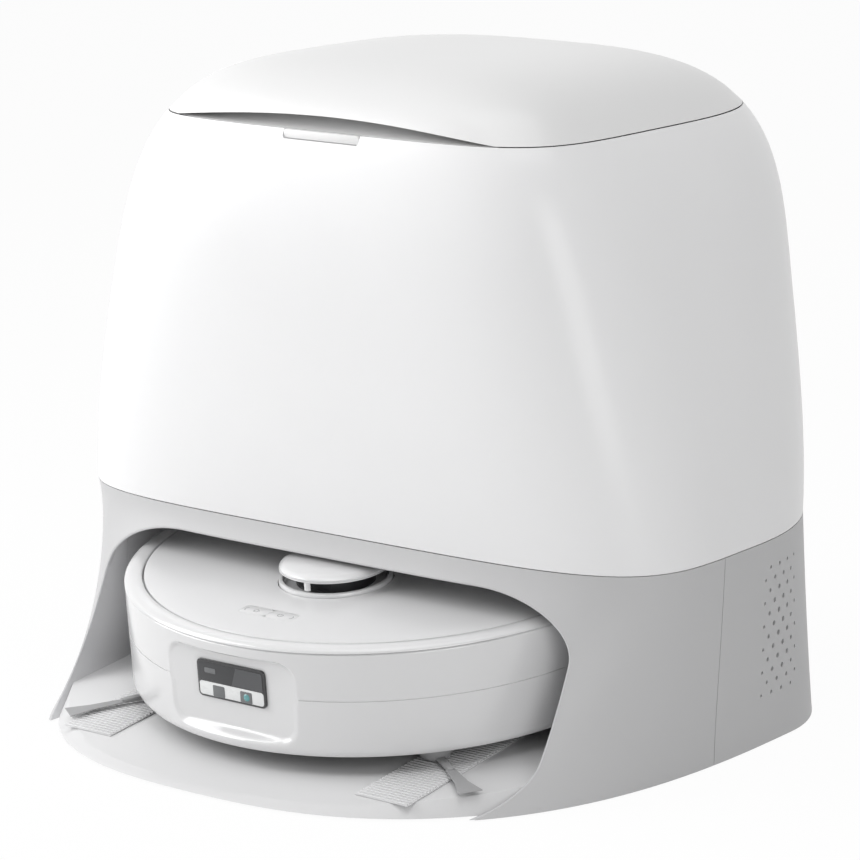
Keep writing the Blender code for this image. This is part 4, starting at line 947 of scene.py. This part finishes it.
def makeWindow():
    face = -robot["radius"] + robot["pocketDepth"]
    front = face - window["proud"]

    def plate(name, half, low, high, radius, near, far, finish, centre=0.0, bevel=0.0003):
        made = drawnUp(name, roundedOutline(half, low, high, radius, 8, centre), near, far, "Y")
        roundEdges(made, bevel, 2)
        present(made, 35, robotPlace, "bumper", finish)
        return made

    frameBlock = plate("window_frame", window["half"], window["low"], window["high"], 0.0034, front,
        face + 0.0004, "blackGlass",
                       bevel=0.0006)
    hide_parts("sensor_window")
    inner, thin = window["half"] - window["rim"], 0.00025
    plate("window_glass", inner, window["split"], window["high"] - window["rim"], 0.0020, front - thin,
        front + 0.0002, "windowGlass",
          bevel=0.0001)
    # window_painted_reflection: a lighter trapezoid plate on the upper glass, a painted reflection
    sheen = drawnUp("window_painted_reflection", [(inner - 0.0004, window["split"] + 0.0003),
        (inner - 0.0004, window["high"] - 0.0026),
                                      (inner - 0.0012, window["high"] - window["rim"] - 0.0004),
                                      (0.0046, window["high"] - window["rim"] - 0.0004),
                                      (0.0005, window["split"] + 0.0003)], front - thin - 0.00008, front, "Y")
    settle(sheen, robotPlace)
    handOver(sheen, "bumper", "windowPaintedReflection")
    panel = plate("camera_panel", inner, window["low"] + window["rim"], window["split"] - 0.0003, 0.0020,
        front - thin, front + 0.0002,
                  "panelWhite", bevel=0.0001)
    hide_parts("sensor_panel")
    plate("distance_sensor", 0.0045, 0.0448, 0.0482, 0.0007, front - thin - 0.0002, front, "sensorGrey",
        centre=-0.0165, bevel=0.0001)
    for name, centre in (("camera_block_left", -0.0104), ("camera_block_right", 0.0118)):
        plate(name, 0.0047, 0.0295, 0.0372, 0.0009, front - thin - 0.0003, front, "sensorGrey",
            centre=centre, bevel=0.0002)
    lens = spun("camera_lens", [(0.0, 0.00070), (0.0012, 0.00062), (0.0020, 0.00035), (0.0024, 0.0),
        (0.0024, -0.0004)], 32)
    settle(lens, robotPlace @ Matrix.Translation((0.0122, front - thin - 0.0003,
        0.0334)) @ Matrix.Rotation(math.pi / 2, 4, "X"))
    smooth(lens, 40)
    handOver(lens, "bumper", "lensTeal")


# robot: shell, top and turret

def bandedSpin(name, profile, steps, body, finish, stands, angle=32, where=(0.0, 0.0, 0.0),
    closed=False, keep=None):
    piece = spun(name, profile, steps, closed)
    if keep:
        keep(piece)
    smooth(piece, angle)
    settle(piece, robotPlace @ Matrix.Translation(where))
    handOver(piece, body, finish, stands)
    return piece


def makeRearShell():
    r, wall = robot["radius"], 0.0045
    inner = r - wall
    profile = [(inner, 0.0697), (r - 0.0010, 0.0697), (r - 0.0003, 0.0694), (r, 0.0687),
        (r - 0.0001, 0.0400), (r - 0.0005, 0.0388),
               (r - 0.0005, 0.0382), (r - 0.0001, 0.0370), (r - 0.0004, 0.0060), (r - 0.0010, 0.0026),
               (r - 0.0022, 0.0009),
               (r - 0.0032, 0.0006), (r - 0.0089, 0.0006), (r - 0.0089, 0.0030), (inner, 0.0030)]

    def trim(piece):
        edge = robot["bumperEnd"] + robot["travel"] + 0.0006
        sliced(piece, plane_co=(0.0, edge, 0.0), plane_no=(0.0, 1.0, 0.0), clear_inner=True, use_fill=True)
        low, high = (Vector(corner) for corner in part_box("charge_pads"))
        hole = block("padHole", (low.x - 0.0003, 0.1600, 0.0150), (high.x + 0.0003, 0.1900, 0.0300))
        cut(piece, hole)

    bandedSpin("robot_rear_shell", profile, 192, "robot", "robotWhite", ("rear_shell",),
        closed=True, keep=trim)


def makeTop():
    r, h, t = robot["radius"], robot["height"], robot["topRadius"]
    rim = [(t + 0.0010, h + 0.0022), (t + 0.0013, h + 0.0028), (t + 0.0020, h + 0.0031),
        (r - 0.0075, h + 0.0031), (r - 0.0045, h + 0.0029),
           (r - 0.0022, h + 0.0023), (r - 0.0008, h + 0.0014), (r - 0.0001, h + 0.0004), (r, h),
           (t + 0.0032, h),
           (t + 0.0032, h - 0.0036), (t - 0.0095, h - 0.0036), (t - 0.0095, h - 0.0020),
           (t + 0.0010, h - 0.0020)]
    bandedSpin("robot_top_rim", rim, 192, "robot", "robotWhite", ("top_rim",), closed=True)
    skin = [(0.0, h + 0.0046), (0.0400, h + 0.00455), (0.0800, h + 0.0043), (0.1100, h + 0.0040),
        (0.1300, h + 0.0036), (0.1480, h + 0.0032),
            (t - 0.0018, h + 0.0028), (t - 0.0008, h + 0.0026), (t - 0.0002, h + 0.0021), (t, h + 0.0014),
            (t, h - 0.0006),
            (0.1300, h + 0.0012), (0.0800, h + 0.0019), (0.0, h + 0.0022)]

    def openUp(piece):
        clearSelection()
        bpy.ops.mesh.primitive_cylinder_add(vertices=128, radius=0.0381, depth=0.05,
            location=(0.0, turret["y"], h))
        cut(piece, named("turretHole"))
        hole = roundedOutline(0.02138, -0.13208, -0.11992, 0.0030)
        cut(piece, drawnUp("keyHole", hole, h - 0.01, h + 0.02))

    bandedSpin("robot_top_cover", skin, 192, "robot", "coverWhite", ("top_cover",),
        keep=openUp)
    for side, body, node in ((-1, "home_button", "home_button"), (1, "power_button", "power_button")):
        key = drawnUp(node + "_key", roundedOutline(0.01062, -0.1320, -0.1200, 0.0029, 8, side * 0.0107),
            h - 0.0010, h + 0.0037)
        roundEdges(key, 0.0003, 2)
        present(key, 35, robotPlace, body, "coverWhite", (node,))
        icon = keySymbol(side)
        settle(icon, robotPlace)
        handOver(icon, body, "iconGrey")


def stroke(start, end, width, level):
    start, end = Vector(start), Vector(end)
    along = end - start
    bar = block("stroke", (-width / 2, -width / 2, 0.0), (along.length + width / 2, width / 2, 0.00006))
    bar.matrix_world = Matrix.Translation((start.x, start.y, level)) @ Matrix.Rotation(math.atan2(along.y,
        along.x), 4, "Z")
    pick(bar)
    applyPlace()
    return bar


def keySymbol(side):
    level, width, y = robot["height"] + 0.0037, 0.00032, -0.1260
    x = -0.0100 if side < 0 else 0.0092
    out = side * 0.0190
    bars = [stroke((out - side * 0.0010, y + 0.0022), (out, y + 0.0010), width, level),
        stroke((out, y + 0.0010), (out, y - 0.0010), width, level),
            stroke((out - side * 0.0010, y - 0.0022), (out, y - 0.0010), width, level)]
    if side < 0:
        corners = [(x - 0.0021, y - 0.0002), (x, y + 0.0019), (x + 0.0021, y - 0.0002),
            (x + 0.0014, y - 0.0002), (x + 0.0014, y - 0.0019),
                   (x - 0.0014, y - 0.0019), (x - 0.0014, y - 0.0002), (x - 0.0021, y - 0.0002)]
    else:
        bars.append(stroke((x, y + 0.0021), (x, y + 0.0005), width, level))
        corners = [(x + 0.0019 * math.sin(math.radians(a)),
            y + 0.0019 * math.cos(math.radians(a))) for a in range(40, 321, 20)]
    bars += [stroke(a, b, width, level) for a, b in zip(corners, corners[1:])]
    return join(bars, "home_symbol" if side < 0 else "power_symbol")


turret = {"radius": 0.0375, "y": -0.0560, "top": 0.0885, "cap": 0.0050, "travel": 0.0006}


def makeTurret():
    h, r, where = robot["height"], turret["radius"], (0.0, turret["y"], 0.0)
    ring = h + 0.0068
    base = [(0.0, ring - 0.0040), (r - 0.0048, ring - 0.0040), (r - 0.0036, ring - 0.0030),
        (r - 0.0030, ring - 0.0004), (r - 0.0026, ring),
            (r - 0.0012, ring), (r - 0.0004, ring - 0.0004), (r - 0.0001, ring - 0.0012),
            (r, ring - 0.0024), (r, h - 0.0010), (0.0, h - 0.0010)]
    bandedSpin("turret_base", base, 128, "robot", "robotWhite", ("lidar_base",), where=where)
    low = turret["top"] - turret["cap"]
    drum = [(0.0, low - 0.0012), (0.0230, low - 0.0012), (0.0250, low - 0.0018), (0.0260, low - 0.0030),
        (0.0260, ring - 0.0037),
            (0.0, ring - 0.0037)]

    def windowed(piece):
        cut(piece, block("rotorFlat", (-0.020, -0.060, ring - 0.0017), (0.020, -0.0225, low)))

    bandedSpin("turret_rotor", drum, 96, "lidar_rotor", "blackPlastic", ("lidar_rotor",),
        where=where, keep=windowed)
    edge = r - 0.0008
    cap = [(0.0, turret["top"]), (edge - 0.0200, turret["top"] - 0.0001),
        (edge - 0.0090, turret["top"] - 0.0004), (edge - 0.0040, turret["top"] - 0.0009),
           (edge - 0.0016, turret["top"] - 0.0017), (edge - 0.0004, turret["top"] - 0.0028),
           (edge - 0.0003, low + 0.0014), (edge - 0.0007, low + 0.0012),
           (edge - 0.0007, low + 0.0009), (edge, low + 0.0007), (edge, low + 0.0003), (edge - 0.0004, low),
           (0.0, low)]
    capPiece = spun("turret_cap", cap, 128)
    smooth(capPiece, 32)
    posts = [capPiece]
    postLow = ring + turret["travel"] + 0.0003
    for angle in (276, 36, 156):
        turn = math.radians(angle)
        clearSelection()
        bpy.ops.mesh.primitive_cylinder_add(vertices=24, radius=0.0018, depth=low + 0.001 - postLow,
                                            location=((edge - 0.0022) * math.cos(turn),
                                            (edge - 0.0022) * math.sin(turn), (postLow + low + 0.001) / 2))
        post = named("post")
        editing(post)
        selectMesh()
        bpy.ops.transform.resize(value=(1.35, 0.8, 1.0), orient_type="GLOBAL", center_override=post.location)
        doneEditing()
        roundEdges(post, 0.0002, 2, 50)
        smooth(post, 35)
        posts.append(post)
    whole = join(posts, "turret_cap")
    settle(whole, robotPlace @ Matrix.Translation(where))
    handOver(whole, "lidar_cap", "robotWhite", ("lidar_cap",))


# robot: underside

brush = {"x": 0.1120, "y": -0.1080, "reach": 0.0660, "level": -0.0082, "left": 239.0, "right": 325.0}


def makeSideBrushes():
    for side, word in ((-1, "left"), (1, "right")):
        hub = spun("hub", [(0.0, 0.0060), (0.0080, 0.0060), (0.0112, 0.0028), (0.0120, 0.0010),
            (0.0120, -0.0030), (0.0112, -0.0050),
                           (0.0094, brush["level"] - 0.0002), (0.0085, brush["level"] - 0.0006),
                           (0.0, brush["level"] - 0.0006)], 48)
        smooth(hub, 35)
        parts = [hub]
        for turn in (0, 1):
            heading = math.radians(brush[word] + 180.0 * turn)
            neck = drawnUp("neck", [(0.0040, -0.0032), (0.0240, -0.0026), (0.0300, -0.0018),
            (0.0300, 0.0018), (0.0240, 0.0026), (0.0040, 0.0032)],
                           brush["level"] - 0.0006, brush["level"] + 0.0022)
            roundEdges(neck, 0.0009, 3)
            blade = drawnUp("blade", [(0.0270, -0.0030), (0.0500, -0.0045), (brush["reach"], -0.0080),
            (brush["reach"] + 0.0010, 0.0075),
                                      (0.0500, 0.0040), (0.0270, 0.0030)], brush["level"],
                                      brush["level"] + 0.0008)
            editing(blade)
            selectMesh()
            for k in range(1, 5):
                selectMesh()
                bpy.ops.mesh.bisect(plane_co=(0.0270 + 0.008 * k, 0.0, 0.0), plane_no=(1.0, 0.0, 0.0))
            doneEditing()
            roundEdges(blade, 0.0002, 1)
            for part in (neck, blade):
                part.matrix_world = Matrix.Rotation(heading, 4, "Z")
                pick(part)
                applyPlace()
                smooth(part, 35)
                parts.append(part)
        whole = join(parts, "side_sweeper_" + word)
        settle(whole, robotPlace @ Matrix.Translation((side * brush["x"], brush["y"], 0.0)))
        handOver(whole, "side_brush_" + word, "brushGrey", ("side_brush_" + word,))


def makeMops():
    for side, word in ((-1, "left"), (1, "right")):
        disc = spun("mop", [(0.0, 0.0120), (0.0080, 0.0120), (0.0080, -0.0002), (0.0500, -0.0002),
            (0.0560, -0.0004), (0.0585, -0.0010), (0.0598, -0.0024),
                            (0.0600, -0.0040), (0.0596, -0.0056), (0.0580, -0.0066), (0.0540, -0.0070),
                            (0.0300, -0.0070), (0.0, -0.0066)], 96)
        smooth(disc, 40)
        disc.name = "mop_pile_" + word
        settle(disc, robotPlace @ Matrix.Translation((side * 0.0670, 0.0860, 0.0)))
        handOver(disc, "mop_" + word, "mopPile", ("mop_pad_" + word,))


def makeWheels():
    for side, word in ((-1, "left"), (1, "right")):
        low, high = (Vector(corner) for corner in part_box("drive_wheel_" + word))
        middle = (low + high) / 2
        tyre = spun("tyre", [(0.0033, 0.0108), (0.0200, 0.0108), (0.0215, 0.0088), (0.0275, 0.0088),
            (0.0300, 0.0105), (0.0322, 0.0106), (0.0330, 0.0090),
                             (0.0330, -0.0090), (0.0322, -0.0106), (0.0033, -0.0108)], 96, closed=True)
        smooth(tyre, 35)
        lug = block("lug", (0.0322, -0.0012, -0.0098), (0.0350, 0.0012, 0.0098))
        roundEdges(lug, 0.0005, 2)
        parts = [tyre] + [copyOf(lug, Matrix.Rotation(2 * math.pi * k / 30, 4, "Z")) for k in range(30)]
        bpy.data.objects.remove(lug)
        wheel = join(parts, "tread_wheel_" + word)
        settle(wheel, Matrix.Translation(middle) @ Matrix.Rotation(side * math.pi / 2, 4, "Y"))
        handOver(wheel, "wheel_" + word, "rubberBlack", ("drive_wheel_" + word,))


makeBumper()
makeWindow()
makeRearShell()
makeTop()
makeTurret()
makeSideBrushes()
makeMops()
makeWheels()
print("robot pieces ready")


# room, lamps and camera

studio = {
    "roomLight": 0.27,
    "lamps": {
        "frontLeft": {"toward": (-0.82, -0.54, 0.44), "away": 1.60, "size": (1.0, 1.4), "power": 20.5},
        "right": {"toward": (0.80, -0.57, 0.20), "away": 2.4, "size": (1.0, 1.9), "power": 16.0},
        "above": {"toward": (0.15, -0.10, 1.0), "away": 2.2, "size": (1.8, 1.8), "power": 18.5},
    },
    "aim": (0.0, dockY, 0.2),
    "azimuth": 36.3517, "elevation": 12.4637, "away": 2.4355, "focal": 152.87,
    "shift": (-0.0014, -0.0226),
}

world = bpy.data.worlds.new("studio")
bpy.context.scene.world = world
world.use_nodes = True
air = world.node_tree
air.nodes.clear()
seen = air.nodes.new("ShaderNodeLightPath")
either = air.nodes.new("ShaderNodeMath")
either.operation = "MAXIMUM"
air.links.new(seen.outputs["Is Camera Ray"], either.inputs[0])
air.links.new(seen.outputs["Is Transmission Ray"], either.inputs[1])
strength = air.nodes.new("ShaderNodeMath")
strength.operation = "MAXIMUM"
air.links.new(either.outputs[0], strength.inputs[0])
air.links.new(seen.outputs["Is Glossy Ray"], strength.inputs[1])
spread = air.nodes.new("ShaderNodeMapRange")
air.links.new(strength.outputs[0], spread.inputs["Value"])
spread.inputs["To Min"].default_value = studio["roomLight"]
spread.inputs["To Max"].default_value = 1.0
sky = air.nodes.new("ShaderNodeBackground")
air.links.new(spread.outputs[0], sky.inputs["Strength"])
sky.inputs["Color"].default_value = (1.0, 1.0, 1.0, 1.0)
outward = air.nodes.new("ShaderNodeOutputWorld")
air.links.new(sky.outputs[0], outward.inputs["Surface"])

for lampName, lamp in studio["lamps"].items():
    light = bpy.data.lights.new(lampName, "AREA")
    light.shape = "RECTANGLE"
    light.size, light.size_y = lamp["size"]
    light.energy = lamp["power"]
    stand = bpy.data.objects.new(lampName, light)
    bpy.context.scene.collection.objects.link(stand)
    toward = Vector(lamp["toward"]).normalized()
    stand.location = Vector(studio["aim"]) + toward * lamp["away"]
    stand.rotation_euler = toward.to_track_quat("Z", "Y").to_euler()

clearSelection()
bpy.ops.mesh.primitive_plane_add(size=14.0, location=(0.0, 0.0, 0.0))
floor = named("floor")
applyPlace()
paper = Recipe("floorPaper")
lit = paper.node("BsdfDiffuse", {}, {"Color": (0.90, 0.90, 0.90, 1.0)})
glow = paper.node("Emission", {}, {"Color": (1.0, 1.0, 1.0, 1.0), "Strength": 1.0})
eye = paper.node("LightPath", {}, {}, "Is Camera Ray")
mirrorRay = paper.node("LightPath", {}, {}, "Is Glossy Ray")
both = paper.node("MixShader", {}, {0: (eye + mirrorRay).clamped() * 0.96, 1: lit, 2: glow})
paperOut = paper.tree.nodes.new("ShaderNodeOutputMaterial")
paper.tree.links.new(both.socket, paperOut.inputs["Surface"])
floor.data.materials.append(paper.material)

camera = bpy.data.cameras.new("camera")
viewer = bpy.data.objects.new("camera", camera)
bpy.context.scene.collection.objects.link(viewer)
turn, rise = math.radians(studio["azimuth"]), math.radians(studio["elevation"])
back = Vector((math.sin(turn) * math.cos(rise), -math.cos(turn) * math.cos(rise), math.sin(rise)))
viewer.location = Vector(studio["aim"]) + back * studio["away"]
viewer.rotation_euler = (-back).to_track_quat("-Z", "Y").to_euler()
camera.sensor_width = 36.0
camera.lens = studio["focal"]
camera.shift_x, camera.shift_y = studio["shift"]
camera.clip_start, camera.clip_end = 0.05, 40.0
bpy.context.scene.camera = viewer
bpy.context.scene.view_settings.view_transform = "Standard"
print("studio ready")
